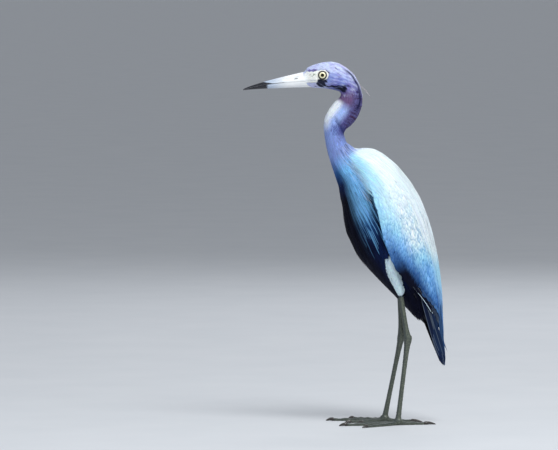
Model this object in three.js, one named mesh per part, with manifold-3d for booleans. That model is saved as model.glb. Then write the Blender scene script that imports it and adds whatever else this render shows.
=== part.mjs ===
// Little blue heron, Egretta caerulea: an adult at rest, standing upright, life size.
// Millimetres, +Z up. The bird faces -Y, its own left side is +X and its soles lie on Z = 0.
import * as THREE from 'three';
import * as BufferGeometryUtils from 'three/addons/utils/BufferGeometryUtils.js';
import { LoftGeometry } from 'three/addons/geometries/LoftGeometry.js';
import Module from 'manifold-3d';

const wasm = await Module();
wasm.setup();

// ---- Driving sizes -------------------------------------------------------------------------

const GAP = 0.3; // between two pieces that meet
// The bill, from its tip to its root inside the feathers of the forehead. Its middle line rises
// towards the root; the half-sizes are those of the root, and the roof narrows the upper half.
const BILL = {
  tipY: -164.5, tipZ: 374, length: 77, rise: 12.7, halfDepth: 9.1, halfWidth: 6.1, roof: 0.28,
};
const EYE = { x: 6.9, y: -75.5, z: 391, radius: 6.2 };
const TARSUS = { ankleY: 20, ankleZ: 96, footY: 9, footZ: 4 };
const LEG_X = { thigh: 24.5, knee: 23, ankle: 22, foot: 22 };
const PAD_RADIUS = 5.2; // of the pad where the toes meet
const STRIDE = 14; // how far the right foot stands ahead of the left
const SHANK_RADII = [3.1, 2.7, 3, 4.1]; // from the thigh's feathers to the ankle
const TARSUS_RADII = [3.9, 4.7, 3.2, 2.6, 2.6, 3, 3.6]; // from above the ankle to the foot
const PRIMARIES = 3; // wingtip feathers that show below each folded wing
const MANTLE_HALF_ANGLE = THREE.MathUtils.degToRad(14); // the back's plumes, each side of the midline

// Stations run from the front or top of a piece to its tail or lower end. Each one is a point of
// the middle plane (y, z) with the half-sizes of the section there: towards the back, towards the
// belly, and to the side.
const HEAD_STATIONS = [
  { y: -96, z: 387, back: 9.4, belly: 9.2, side: 6.8 },
  { y: -88, z: 388.5, back: 12.6, belly: 12.2, side: 9.8 },
  { y: -76, z: 390, back: 15.2, belly: 14.4, side: 12.2 },
  { y: -64, z: 390, back: 16.3, belly: 15.4, side: 12.6 },
  { y: -53, z: 387, back: 12.8, belly: 15.4, side: 12 },
  { y: -45.5, z: 381, back: 9.9, belly: 12.6, side: 11 },
];

const NECK_STATIONS = [
  { y: -49.5, z: 388.5, back: 9.5, belly: 10, side: 9.5 },
  { y: -42.5, z: 376, back: 9.3, belly: 12.3, side: 10.5 },
  { y: -43, z: 363, back: 13.4, belly: 13, side: 11 },
  { y: -51, z: 349.5, back: 16.2, belly: 16.5, side: 11.2 },
  { y: -60.5, z: 338, back: 15.2, belly: 14.2, side: 11.2 },
  { y: -62, z: 325, back: 11, belly: 11.6, side: 11.8 },
  { y: -58, z: 310, back: 11.2, belly: 13, side: 13.2 },
  { y: -50.5, z: 295.5, back: 15.5, belly: 16.5, side: 16 },
  { y: -40, z: 280, back: 20, belly: 22, side: 21 },
];

// Where the neck is parted: positions along its stations, 0 at the head and 1 at the trunk.
const NECK_PARTS = { head: 0.17, upper: 0.41, middle: 0.66, lower: 0.915 };

const TRUNK_STATIONS = [
  { y: -43, z: 284.5, back: 16, belly: 17.5, side: 16 },
  { y: -35.5, z: 274, back: 25, belly: 26.5, side: 25 },
  { y: -22.5, z: 257, back: 35, belly: 36.5, side: 33 },
  { y: -8, z: 231.5, back: 41, belly: 44.5, side: 36 },
  { y: 4.5, z: 203.5, back: 40, belly: 43.5, side: 34.5 },
  { y: 17, z: 174.5, back: 33.5, belly: 33, side: 29 },
  { y: 29, z: 148, back: 23, belly: 22, side: 21 },
  { y: 40, z: 123.5, back: 13, belly: 13, side: 14 },
  { y: 48, z: 105.5, back: 5, belly: 4.5, side: 7 },
];

// The folded wings and the plumes between them share one outer shell round the trunk. Its
// stations give the shell's reach to the back and to the side, the angle from the back's
// midline round to the wing's leading edge in degrees, and the thickness at the back.
const SHELL_STATIONS = [
  { y: -51, z: 298, back: 16.5, side: 15.5, edge: 62, thick: 5 },
  { y: -46, z: 291.5, back: 29.5, side: 22, edge: 72, thick: 11 },
  { y: -38, z: 281.5, back: 37, side: 30.5, edge: 80, thick: 14 },
  { y: -22.5, z: 259, back: 44.2, side: 40.5, edge: 89, thick: 12 },
  { y: -8, z: 232.5, back: 46.6, side: 44.5, edge: 98, thick: 10 },
  { y: 4.5, z: 203.5, back: 44.8, side: 43, edge: 100, thick: 9 },
  { y: 17, z: 174.5, back: 39.2, side: 37.5, edge: 96, thick: 9 },
  { y: 29, z: 148, back: 31, side: 28.5, edge: 84, thick: 9 },
  { y: 40, z: 123.5, back: 21, side: 19.5, edge: 64, thick: 7 },
  { y: 48.5, z: 105.5, back: 13, side: 12.5, edge: 52, thick: 5 },
  { y: 55, z: 88, back: 6, side: 7, edge: 48, thick: 2.4 },
];
const EDGE_THICKNESS = 3.4; // of a wing along its leading edge
const THINNING = [0.2, 1.45]; // the angles from the back's midline where a wing thins to its edge
const MANTLE_LIFT = 0.5; // the plumes of the back stand this much above the wings

// The folded tail, from its root under the wings to its rounded end (y, z), with half-sizes.
const TAIL = {
  root: [29.4, 151.1], tip: [62.5, 65.5], rootWidth: 4.5, endWidth: 17, thick: 1.6, arch: 0.16,
};

// Root and tip of the longest wingtip feather and of a nape plume, on the left side.
const WINGTIP = { root: [24, 33, 158], tip: [9, 61.5, 66], halfWidth: 6, sag: 1.5 };
const NAPE_PLUME = { root: [2, -33.8, 378.5], tip: [3.2, -21.8, 367], halfWidth: 0.9, halfThick: 0.3 };

// How finely the lofts are cut: sections along a piece, and points round each one.
const CUTS = {
  skull: [9, 16],
  headRear: [3, 16],
  neck: [6, 16],
  neckRoot: [2, 20],
  neckWhole: [12, 18],
  trunk: [14, 20],
  bill: [10, 12],
  shell: [15, 8],
  mantle: [15, 4],
  thigh: [6, 12],
  shank: [6, 8],
  tarsus: [10, 8],
  claw: [4, 6],
};

const THIGH_STATIONS = [
  { y: -1, z: 198, radius: 11 },
  { y: 3.5, z: 179, radius: 10 },
  { y: 7.5, z: 163, radius: 7.8 },
  { y: 11, z: 150, radius: 4.8 },
  { y: 12, z: 144, radius: 3.4 },
];

// Toes: length without the claw, heading from straight ahead (outwards positive, degrees),
// number of joints, radius at the root, and the claw's length.
const TOES = {
  inner: { length: 42, heading: -25, joints: 3, radius: 2.3, claw: 8 },
  middle: { length: 58, heading: 11, joints: 4, radius: 2.5, claw: 9 },
  outer: { length: 47, heading: 43, joints: 4, radius: 2.3, claw: 8 },
  hind: { length: 30, heading: 192, joints: 2, radius: 2.4, claw: 13 },
};

// ---- Materials -----------------------------------------------------------------------------

const COLOURS = {
  head: '#8d7fa3',
  neck: '#7f7299',
  body: '#6f93b5',
  wing: '#8fb4d2',
  flight: '#4d6f92',
  bill: '#aebfce',
  eye: '#e6e2b4',
  leg: '#5d6b66',
  claw: '#2c2a28',
};

function material(name, roughness) {
  return new THREE.MeshStandardMaterial({ color: COLOURS[name], roughness, metalness: 0 });
}

// ---- Solids --------------------------------------------------------------------------------

function solidOf(geometry) {
  const bare = new THREE.BufferGeometry().copy(geometry);
  bare.deleteAttribute('uv');
  bare.deleteAttribute('normal');
  const merged = BufferGeometryUtils.mergeVertices(bare, 1e-4);
  const triVerts = new Uint32Array(merged.index.array);
  const vertProperties = new Float32Array(merged.attributes.position.array);
  return new wasm.Manifold(new wasm.Mesh({ numProp: 3, vertProperties, triVerts }));
}

function meshOf(name, solid, surface) {
  const { vertProperties, triVerts } = solid.getMesh();
  const geometry = new THREE.BufferGeometry();
  geometry.setAttribute('position', new THREE.BufferAttribute(new Float32Array(vertProperties), 3));
  geometry.setIndex(new THREE.BufferAttribute(new Uint32Array(triVerts), 1));
  geometry.computeVertexNormals();
  const mesh = new THREE.Mesh(geometry, surface);
  mesh.name = name;
  return mesh;
}

function joined(solids) {
  return solids.reduce((whole, next) => whole.add(next));
}

// ---- Lofts along a spine in the middle plane -----------------------------------------------

// A smooth track through stations: where the spine is, its direction and every named size.
function track(stations) {
  const spine = new THREE.CatmullRomCurve3(stations.map(({ y, z }) => new THREE.Vector3(0, y, z)));
  const sizes = {};
  for (const key of Object.keys(stations[0])) {
    const values = stations.map((station, i) => new THREE.Vector3(i, station[key], 0));
    sizes[key] = new THREE.CatmullRomCurve3(values);
  }
  return (t) => {
    const tangent = spine.getTangent(t);
    const at = { centre: spine.getPoint(t), tangent };
    at.back = new THREE.Vector3(0, -tangent.z, tangent.y);
    for (const key of Object.keys(sizes)) {
      at[`${key}Size`] = sizes[key].getPoint(t).y;
    }
    return at;
  };
}

// A body loft: oval sections square to the spine, each half as deep as its stations say.
function bodyLoft(stations, [rings, around], { from = 0, to = 1, grow = 0 } = {}) {
  const along = track(stations);
  const sections = [];
  for (let i = 0; i <= rings; i += 1) {
    const at = along(from + ((to - from) * i) / rings);
    const section = [];
    for (let j = 0; j < around; j += 1) {
      const angle = (2 * Math.PI * j) / around;
      const depth = Math.cos(angle) > 0 ? at.backSize : at.bellySize;
      const point = at.centre.clone().addScaledVector(at.back, (depth + grow) * Math.cos(angle));
      point.x = (at.sideSize + grow) * Math.sin(angle);
      section.push(point);
    }
    sections.push(section);
  }
  return solidOf(new LoftGeometry(sections, { capStart: true, capEnd: true }));
}

// A round rod through points, with a radius at each one.
function rod(points, radii, [rings, around], grow = 0) {
  const path = new THREE.CatmullRomCurve3(points);
  const size = new THREE.CatmullRomCurve3(radii.map((r, i) => new THREE.Vector3(i, r, 0)));
  const sections = [];
  for (let i = 0; i <= rings; i += 1) {
    const centre = path.getPoint(i / rings);
    const turn = new THREE.Quaternion().setFromUnitVectors(
      new THREE.Vector3(0, 0, -1),
      path.getTangent(i / rings),
    );
    const radius = size.getPoint(i / rings).y + grow;
    const section = [];
    for (let j = 0; j < around; j += 1) {
      const angle = (2 * Math.PI * (j + 0.5)) / around;
      const offset = new THREE.Vector3(Math.sin(angle), Math.cos(angle), 0).multiplyScalar(radius);
      section.push(offset.applyQuaternion(turn).add(centre));
    }
    sections.push(section);
  }
  return solidOf(new LoftGeometry(sections, { capStart: true, capEnd: true }));
}

// A long flat feather or plume from its root to its tip. `face` is the way its flat side looks,
// and the outline is widest in the middle and rounded or drawn out at the tip.
function blade({ root, tip, face, halfWidth, halfThick = 0.4, sag = 0, pointed = 0, grow = 0 }) {
  const heading = tip.clone().sub(root).normalize();
  const across = new THREE.Vector3().crossVectors(face, heading).normalize();
  const normal = new THREE.Vector3().crossVectors(heading, across).normalize();
  const thick = halfThick + grow;
  const sections = [0, 0.3, 0.78, 0.92, 1].map((u) => {
    const roundTip = Math.sqrt(Math.max(0.03, 1 - Math.max(0, (u - 0.78) / 0.22) ** 2));
    const taper = THREE.MathUtils.lerp(roundTip, 1.02 - u, pointed);
    const width = grow + halfWidth * taper * THREE.MathUtils.lerp(0.6, 1, Math.min(1, u * 2.5));
    const centre = root.clone().lerp(tip, u);
    centre.addScaledVector(normal, -sag * 4 * u * (1 - u));
    return [[-1, -1], [1, -1], [1, 1], [-1, 1]].map(([w, t]) => (
      centre.clone().addScaledVector(across, w * width).addScaledVector(normal, t * thick)
    ));
  });
  return solidOf(new LoftGeometry(sections, { capStart: true, capEnd: true }));
}

// A solid that covers everything below a line in the middle plane.
function regionBelow(line, halfWidth, floor) {
  const outline = new THREE.Shape(line.map(([y, z]) => new THREE.Vector2(y, z)));
  outline.lineTo(line.at(-1)[0], floor);
  outline.lineTo(line[0][0], floor);
  const slab = new THREE.ExtrudeGeometry(outline, { depth: 2 * halfWidth, bevelEnabled: false });
  slab.translate(0, 0, -halfWidth);
  const axes = [new THREE.Vector3(0, 1, 0), new THREE.Vector3(0, 0, 1), new THREE.Vector3(1, 0, 0)];
  slab.applyMatrix4(new THREE.Matrix4().makeBasis(...axes));
  return solidOf(slab);
}

// Everything below the soles, taken off whatever stands on the floor.
const underFloor = solidOf(new THREE.BoxGeometry(400, 400, 20).translate(0, 0, -10));

// ---- Head, bill, eyes and neck -------------------------------------------------------------

const skullGrown = bodyLoft(HEAD_STATIONS, CUTS.skull, { grow: GAP });

function ball(x, grow) {
  const sphere = new THREE.SphereGeometry(EYE.radius + grow, 12, 8);
  sphere.rotateZ(Math.PI / 2);
  return solidOf(sphere.translate(x, EYE.y, EYE.z));
}

function makeHead() {
  const rearOfHead = bodyLoft(NECK_STATIONS, CUTS.headRear, { to: NECK_PARTS.head });
  const skull = bodyLoft(HEAD_STATIONS, CUTS.skull).add(rearOfHead);
  return skull.subtract(ball(EYE.x, GAP)).subtract(ball(-EYE.x, GAP));
}

// The bill is a dagger: deep at the base, roof-shaped above, and narrower than it is deep.
function billWhole() {
  const [rings, around] = CUTS.bill;
  const sections = [];
  for (let i = 0; i <= rings; i += 1) {
    const u = (i / rings) ** 1.25; // closer together near the tip
    const y = BILL.tipY + BILL.length * u;
    const z = BILL.tipZ + BILL.rise * u ** 0.72;
    const depth = 0.4 + BILL.halfDepth * u ** 0.84;
    const width = 0.35 + BILL.halfWidth * u ** 0.95;
    const section = [];
    for (let j = 0; j < around; j += 1) {
      const angle = (2 * Math.PI * j) / around;
      const roof = 1 - BILL.roof * Math.max(0, Math.cos(angle));
      section.push(new THREE.Vector3(
        width * Math.sin(angle) * roof,
        y,
        z + depth * Math.cos(angle),
      ));
    }
    sections.push(section);
  }
  return solidOf(new LoftGeometry(sections, { capStart: true, capEnd: true }));
}

function makeBill() {
  const whole = billWhole().subtract(skullGrown);
  const mouth = [[-2, -0.7], [14, 3.9], [37, 7.7], [86, 11]]; // from the tip: back, up
  const reach = 2 * BILL.halfWidth;
  const below = (rise) => {
    const line = mouth.map(([back, up]) => [BILL.tipY + back, BILL.tipZ + up + rise]);
    return regionBelow(line, reach, BILL.tipZ - 30);
  };
  return { upper: whole.subtract(below(GAP / 2)), lower: whole.intersect(below(-GAP / 2)) };
}

// One length of the neck, standing off its neighbours by half the gap at each end.
function neckLength(from, to) {
  const spine = new THREE.CatmullRomCurve3(NECK_STATIONS.map(({ y, z }) => new THREE.Vector3(0, y, z)));
  const step = GAP / 2 / spine.getLength();
  return bodyLoft(NECK_STATIONS, CUTS.neck, { from: from + step, to: to - step });
}

// ---- Trunk, wings, mantle and tail ---------------------------------------------------------

const trunkGrown = bodyLoft(TRUNK_STATIONS, CUTS.trunk, { grow: GAP });
const neckGrown = bodyLoft(NECK_STATIONS, CUTS.neckWhole, { from: 0.6, grow: GAP });

// Part of the shell round the trunk, between two angles from the back's midline. Its thickness
// falls from the stations' value at the back to the leading edge's own. Grown, it is the space
// that its neighbours keep clear of.
function shell({ cuts: [rings, steps], angles, lift = 0, grow = 0 }) {
  const along = track(SHELL_STATIONS);
  const sections = [];
  for (let i = 0; i <= rings; i += 1) {
    const at = along(i / rings);
    const [start, end] = angles(THREE.MathUtils.degToRad(at.edgeSize), at.backSize - at.thickSize);
    const place = (inset, angle) => {
      const reach = lift + grow - inset;
      const point = at.centre.clone();
      point.addScaledVector(at.back, (at.backSize + reach) * Math.cos(angle));
      point.x = Math.max(at.sideSize + reach, 0.5) * Math.sin(angle);
      return point;
    };
    const outer = [];
    const inner = [];
    for (let j = 0; j <= steps; j += 1) {
      const angle = THREE.MathUtils.lerp(start, end, j / steps);
      const towardsEdge = THREE.MathUtils.smoothstep(Math.abs(angle), ...THINNING);
      const edgeThick = Math.min(EDGE_THICKNESS, at.thickSize);
      const thick = THREE.MathUtils.lerp(at.thickSize, edgeThick, towardsEdge) + 2 * grow;
      outer.push(place(0, angle));
      inner.unshift(place(thick, angle));
    }
    sections.push([...outer, ...inner]);
  }
  return solidOf(new LoftGeometry(sections, { capStart: true, capEnd: true }));
}

function wingShell(side, grow = 0) {
  const angles = (edge, radius) => {
    const reach = [MANTLE_HALF_ANGLE + (GAP - grow) / radius, edge + grow / radius];
    return side > 0 ? reach : [-reach[1], -reach[0]];
  };
  return shell({ cuts: CUTS.shell, angles, grow });
}

function makeWing(side) {
  return wingShell(side).subtract(trunkGrown).subtract(neckGrown);
}

function mantleShell(grow = 0) {
  const angles = (edge, radius) => {
    const reach = MANTLE_HALF_ANGLE + grow / radius;
    return [-reach, reach];
  };
  return shell({ cuts: CUTS.mantle, angles, lift: MANTLE_LIFT, grow });
}

function makeMantle() {
  return mantleShell().subtract(trunkGrown).subtract(neckGrown);
}

// The folded tail: a narrow fan, arched across like a shallow roof, with a rounded end.
function tailFan(grow = 0) {
  const root = new THREE.Vector3(0, ...TAIL.root);
  const tip = new THREE.Vector3(0, ...TAIL.tip);
  const heading = tip.clone().sub(root).normalize();
  const back = new THREE.Vector3(0, -heading.z, heading.y);
  const sections = [0.15, 0.4, 0.65, 0.85, 0.95, 0.99, 1].map((u) => {
    const rounding = Math.sqrt(1 - Math.max(0, (u - 0.85) / 0.155) ** 2);
    const width = THREE.MathUtils.lerp(TAIL.rootWidth, TAIL.endWidth, u) * rounding + grow;
    const thick = THREE.MathUtils.lerp(TAIL.thick, TAIL.thick / 3, u) + grow;
    const centre = root.clone().lerp(tip, u);
    const row = (across, level) => {
      const drop = TAIL.arch * width * across ** 2;
      const point = centre.clone().addScaledVector(back, level * thick - drop);
      point.x = across * width;
      return point;
    };
    const upper = [-1, -0.5, 0, 0.5, 1].map((across) => row(across, 1));
    const lower = [1, 0.5, 0, -0.5, -1].map((across) => row(across, -1));
    return [...upper, ...lower];
  });
  return solidOf(new LoftGeometry(sections, { capStart: true, capEnd: true }));
}

function makeTail() {
  const clear = tailFan().subtract(trunkGrown).subtract(mantleShell(GAP));
  return clear.subtract(wingShell(1, GAP)).subtract(wingShell(-1, GAP));
}

// The wingtip: long primaries that run back under the folded wing, each a little shorter and
// further forward than the last.
function wingtip(side, grow = 0) {
  const feathers = [];
  for (let i = 0; i < PRIMARIES; i += 1) {
    const root = new THREE.Vector3(...WINGTIP.root).add(new THREE.Vector3(-0.8 * i, -2.4 * i, 1.6 * i));
    const tip = new THREE.Vector3(...WINGTIP.tip).add(new THREE.Vector3(0.9 * i, -2 * i, 9 * i));
    root.x *= side;
    tip.x *= side;
    const face = new THREE.Vector3(side, 0.34, 0.12);
    feathers.push(blade({ ...WINGTIP, root, tip, face, grow }));
  }
  return joined(feathers);
}

function makePrimaries(side) {
  const clear = wingtip(side).subtract(trunkGrown).subtract(mantleShell(GAP));
  return clear.subtract(wingShell(side, GAP)).subtract(tailFan(GAP));
}

// Two fine plumes that hang from the nape.
function makeNapePlume(side) {
  const root = new THREE.Vector3(...NAPE_PLUME.root);
  const tip = new THREE.Vector3(...NAPE_PLUME.tip);
  tip.z -= side; // the left one is a little longer
  root.x *= side;
  tip.x *= side;
  const face = new THREE.Vector3(side * 0.3, 0.7, 0.6);
  const plume = blade({ ...NAPE_PLUME, root, tip, face, pointed: 0.7 });
  const upperNeck = bodyLoft(NECK_STATIONS, CUTS.neckWhole, { to: 0.5, grow: GAP });
  return plume.subtract(skullGrown).subtract(upperNeck);
}

// ---- Legs and feet -------------------------------------------------------------------------

function legPoints(side, stride) {
  const onSide = (x, y, z) => new THREE.Vector3(side * x, y, z);
  const foot = onSide(LEG_X.foot, TARSUS.footY - stride, TARSUS.footZ);
  const ankle = onSide(LEG_X.ankle, TARSUS.ankleY - 0.45 * stride, TARSUS.ankleZ);
  const last = THIGH_STATIONS.at(-1);
  const thighEnd = onSide(LEG_X.knee, last.y, last.z);
  return { foot, ankle, thighEnd };
}

function makeThigh(side) {
  const points = THIGH_STATIONS.map(({ y, z }, i) => {
    const x = i < 2 ? LEG_X.thigh : LEG_X.knee;
    return new THREE.Vector3(side * x, y, z);
  });
  const radii = THIGH_STATIONS.map(({ radius }) => radius);
  return rod(points, radii, CUTS.thigh).subtract(trunkGrown).subtract(wingShell(side, GAP));
}

function makeShank(side, stride) {
  const { ankle, thighEnd } = legPoints(side, stride);
  const down = ankle.clone().sub(thighEnd).normalize();
  const start = thighEnd.clone().addScaledVector(down, GAP + 0.2);
  const end = ankle.clone().addScaledVector(down, -3);
  const points = [0, 0.5, 0.82, 1].map((t) => start.clone().lerp(end, t));
  return rod(points, SHANK_RADII, CUTS.shank).subtract(tarsusShaft(side, stride, GAP));
}

// The tarsus, from the ankle joint's knuckle down to the pad where the toes meet.
function tarsusShaft(side, stride, grow = 0) {
  const { ankle, foot } = legPoints(side, stride);
  const down = foot.clone().sub(ankle).normalize();
  const top = ankle.clone().addScaledVector(down, -4.6);
  const points = [top, ankle, ankle.clone().addScaledVector(down, 9)];
  for (const t of [0.35, 0.7, 0.93]) {
    points.push(ankle.clone().lerp(foot, t));
  }
  points.push(foot);
  return rod(points, TARSUS_RADII, CUTS.tarsus, grow);
}

function footPad(side, stride, grow = 0) {
  const { foot } = legPoints(side, stride);
  const pad = new THREE.SphereGeometry(PAD_RADIUS + grow, 10, 6);
  return solidOf(pad.scale(1, 1, 0.85).translate(...foot));
}

function makeTarsus(side, stride) {
  return tarsusShaft(side, stride).add(footPad(side, stride)).subtract(underFloor);
}

// A toe lies along the floor with a slight swelling at each joint, flat underneath.
function toeRod(side, stride, toe, grow = 0) {
  const { foot } = legPoints(side, stride);
  const angle = THREE.MathUtils.degToRad(toe.heading);
  const heading = new THREE.Vector3(side * Math.sin(angle), -Math.cos(angle), 0);
  const rings = toe.joints * 2;
  const points = [];
  const radii = [];
  for (let i = 0; i <= rings; i += 1) {
    const u = i / rings;
    const swelling = 1 + 0.13 * Math.cos(2 * Math.PI * u * toe.joints);
    const radius = THREE.MathUtils.lerp(toe.radius, 0.62 * toe.radius, u) * swelling;
    const point = foot.clone().addScaledVector(heading, 3 + (toe.length - 3) * u);
    point.z = 0.82 * radius + 1.6 * Math.max(0, 0.25 - u);
    points.push(point);
    radii.push(radius);
  }
  const solid = rod(points, radii, [rings, 6], grow);
  return { solid, end: points.at(-1), heading, radius: radii.at(-1) };
}

// The front side toes give way to the middle toe where they meet at the pad.
function makeToe(side, stride, toe) {
  const built = toeRod(side, stride, toe);
  let { solid } = built;
  solid = solid.subtract(underFloor).subtract(footPad(side, stride, GAP));
  solid = solid.subtract(tarsusShaft(side, stride, GAP));
  if (toe !== TOES.middle) {
    solid = solid.subtract(toeRod(side, stride, TOES.middle, GAP).solid);
  }
  return { ...built, solid };
}

// A claw springs from the toe's end, arches a little and comes down to the floor at its point.
function makeClaw(toe, { end, heading, radius }) {
  const reach = (along, z) => end.clone().addScaledVector(heading, along).setZ(z);
  const points = [
    reach(GAP, end.z + 0.1),
    reach(0.4 * toe.claw, end.z + 0.7),
    reach(0.8 * toe.claw, end.z * 0.75),
    reach(toe.claw, 0.3),
  ];
  const radii = [radius * 0.86, radius * 0.8, radius * 0.46, 0.28];
  return rod(points, radii, CUTS.claw).subtract(underFloor);
}

// ---- The heron -----------------------------------------------------------------------------

const heron = new THREE.Group();
const feathered = 0.85;

function add(name, solid, colour, roughness = feathered) {
  heron.add(meshOf(name, solid, material(colour, roughness)));
}

const bill = makeBill();
add('head', makeHead(), 'head');
add('bill_upper', bill.upper, 'bill', 0.4);
add('bill_lower', bill.lower, 'bill', 0.4);
add('eye_left', ball(EYE.x, 0), 'eye', 0.1);
add('eye_right', ball(-EYE.x, 0), 'eye', 0.1);

add('neck_upper', neckLength(NECK_PARTS.head, NECK_PARTS.upper).subtract(skullGrown), 'neck');
add('neck_middle', neckLength(NECK_PARTS.upper, NECK_PARTS.middle), 'neck');
add('neck_lower', neckLength(NECK_PARTS.middle, NECK_PARTS.lower).subtract(trunkGrown), 'neck');

const neckRoot = bodyLoft(NECK_STATIONS, CUTS.neckRoot, { from: NECK_PARTS.lower });
add('trunk', bodyLoft(TRUNK_STATIONS, CUTS.trunk).add(neckRoot), 'body');

add('mantle', makeMantle(), 'wing');
add('tail', makeTail(), 'flight');
for (const [name, side] of [['left', 1], ['right', -1]]) {
  add(`wing_${name}`, makeWing(side), 'wing');
  add(`primaries_${name}`, makePrimaries(side), 'flight');
  add(`nape_plume_${name}`, makeNapePlume(side), 'head');
}

for (const [name, side, stride] of [['left', 1, 0], ['right', -1, STRIDE]]) {
  add(`thigh_${name}`, makeThigh(side), 'body');
  add(`shank_${name}`, makeShank(side, stride), 'leg', 0.6);
  add(`tarsus_${name}`, makeTarsus(side, stride), 'leg', 0.6);
  for (const [toeName, toe] of Object.entries(TOES)) {
    const built = makeToe(side, stride, toe);
    add(`toe_${toeName}_${name}`, built.solid, 'leg', 0.6);
    add(`claw_${toeName}_${name}`, makeClaw(toe, built), 'claw', 0.4);
  }
}

// The origin is under the middle of the bird's box, at floor level.
const box = new THREE.Box3().setFromObject(heron);
const middle = box.getCenter(new THREE.Vector3());
heron.position.set(-middle.x, -middle.y, 0);

export default heron;
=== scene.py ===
# %% [markdown]
# # A little blue heron, standing
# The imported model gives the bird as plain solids, one for each part of the body. This notebook
# keeps their places and sizes and gives the bird its surfaces: one skin under the plumage, a
# horn bill with a nostril, wet eyes in their lids, scaled legs, and a coat of single feathers.

# %% Load the frame
import math

import bmesh
import bpy
import numpy as np
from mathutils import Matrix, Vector, noise
from mathutils.bvhtree import BVHTree
from mathutils.kdtree import KDTree


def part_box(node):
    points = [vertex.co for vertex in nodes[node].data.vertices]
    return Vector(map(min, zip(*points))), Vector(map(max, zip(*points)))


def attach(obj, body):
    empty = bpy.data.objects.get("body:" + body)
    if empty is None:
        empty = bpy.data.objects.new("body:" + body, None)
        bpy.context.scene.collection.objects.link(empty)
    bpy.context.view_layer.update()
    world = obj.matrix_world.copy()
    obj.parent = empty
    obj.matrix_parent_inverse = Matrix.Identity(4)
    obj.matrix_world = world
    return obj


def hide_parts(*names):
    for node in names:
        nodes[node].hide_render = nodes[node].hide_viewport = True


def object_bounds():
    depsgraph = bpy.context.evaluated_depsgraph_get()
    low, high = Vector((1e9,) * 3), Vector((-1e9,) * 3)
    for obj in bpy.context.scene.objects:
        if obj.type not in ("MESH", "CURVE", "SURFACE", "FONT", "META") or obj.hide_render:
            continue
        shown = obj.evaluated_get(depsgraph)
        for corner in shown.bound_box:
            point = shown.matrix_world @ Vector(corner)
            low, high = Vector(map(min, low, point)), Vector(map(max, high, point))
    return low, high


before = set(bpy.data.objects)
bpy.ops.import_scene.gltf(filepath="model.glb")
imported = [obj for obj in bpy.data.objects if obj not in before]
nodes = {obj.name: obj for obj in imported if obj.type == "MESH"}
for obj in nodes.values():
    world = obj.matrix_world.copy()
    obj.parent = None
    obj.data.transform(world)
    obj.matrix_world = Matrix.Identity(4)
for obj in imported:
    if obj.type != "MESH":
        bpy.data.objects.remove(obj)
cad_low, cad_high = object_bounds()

MM = 0.001
rng = np.random.default_rng(20)
SIDES = {"left": 1.0, "right": -1.0}
print("frame:", len(nodes), "nodes, standing", round((cad_high[2] - cad_low[2]) / MM), "mm")


# %% [markdown]
# ## Landmarks
# Every new piece takes its place from the boxes of the solids: the eye's centre, the bill's tip,
# the fold of the wing. The one thing that a box can't tell is which way the body runs, so a short
# line through the middle of the bird, from the bill to the tail, says that.

# %% Landmarks
def box_middle(name):
    low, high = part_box(name)
    return (Vector(low) + Vector(high)) / 2


def box_size(name):
    low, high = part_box(name)
    return Vector(high) - Vector(low)


eye_centre = {side: box_middle(f"eye_{side}") for side in SIDES}
eye_radius = box_size("eye_left").y / 2

# The middle line of the body in millimetres (y, z), from the forehead to the tip of the tail.
BODY_LINE = np.array([
    (-46, 386), (-25, 390), (-9, 389.5), (1, 385), (7, 376), (7.6, 363), (0, 349.5), (-9.5, 338),
    (-11.4, 325), (-7.4, 310), (0, 295.5), (12.6, 281.5), (28, 258), (42.6, 232), (55, 203.5),
    (67.6, 174.5), (79.6, 148), (90.6, 123.5), (99, 105.5), (105.6, 88), (113, 65.5),
]) * MM
line_steps = np.linalg.norm(np.diff(BODY_LINE, axis=0), axis=1)
line_length = np.concatenate([[0], np.cumsum(line_steps)])
print("eye", [round(v / MM, 1) for v in eye_centre["left"]])
print("body line", round(line_length[-1] / MM), "mm")


def smoothstep(low, high, value):
    t = np.clip((value - low) / (high - low), 0, 1)
    return t * t * (3 - 2 * t)


def fade(low, high, value):
    """1 below the low value, 0 above the high one."""
    return 1 - smoothstep(low, high, value)


def bell(value, middle, half_width):
    return np.exp(-(((value - middle) / half_width) ** 2))


def along_body(points):
    """For each point: its length along the body line, and the line's direction and middle (y, z)."""
    flat = points[:, 1:3]
    start = BODY_LINE[:-1]
    step = BODY_LINE[1:] - start
    share = ((flat[:, None, :] - start) * step).sum(2) / (step * step).sum(1)
    share = np.clip(share, 0, 1)
    foot = start + share[..., None] * step
    distance = np.linalg.norm(flat[:, None, :] - foot, axis=2)
    nearest = distance.argmin(1)
    rows = np.arange(len(points))
    length = line_length[nearest] + share[rows, nearest] * line_steps[nearest]
    ahead = 8 * MM
    middle = np.stack([np.interp(length, line_length, BODY_LINE[:, k]) for k in (0, 1)], 1)
    later = np.stack([np.interp(length + ahead, line_length, BODY_LINE[:, k]) for k in (0, 1)], 1)
    before = np.stack([np.interp(length - ahead, line_length, BODY_LINE[:, k]) for k in (0, 1)], 1)
    direction = later - before
    direction /= np.linalg.norm(direction, axis=1)[:, None]
    return length, direction, middle


def unit(vectors):
    return vectors / np.maximum(np.linalg.norm(vectors, axis=-1, keepdims=True), 1e-12)


# %% [markdown]
# ## Camera, floor and light
# The bird is seen from its left side, nearly level, from so far off that the picture has next to
# no perspective: a long lens a few metres away. One big soft box stands above and on the
# camera's side, a little towards the tail, so that the back and the wing are bright and the
# breast turns away into shade. Weak fills keep the far side readable.

# %% Camera
PICTURE_WIDTH = 0.625
CAMERA_DISTANCE = 6.0
CAMERA_HEIGHT_ANGLE = math.radians(3)
FLOOR_HALF_SIZE = 60
aim = Vector((0, cad_low[1] + 0.0405, cad_low[2] + 0.2229))

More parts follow.
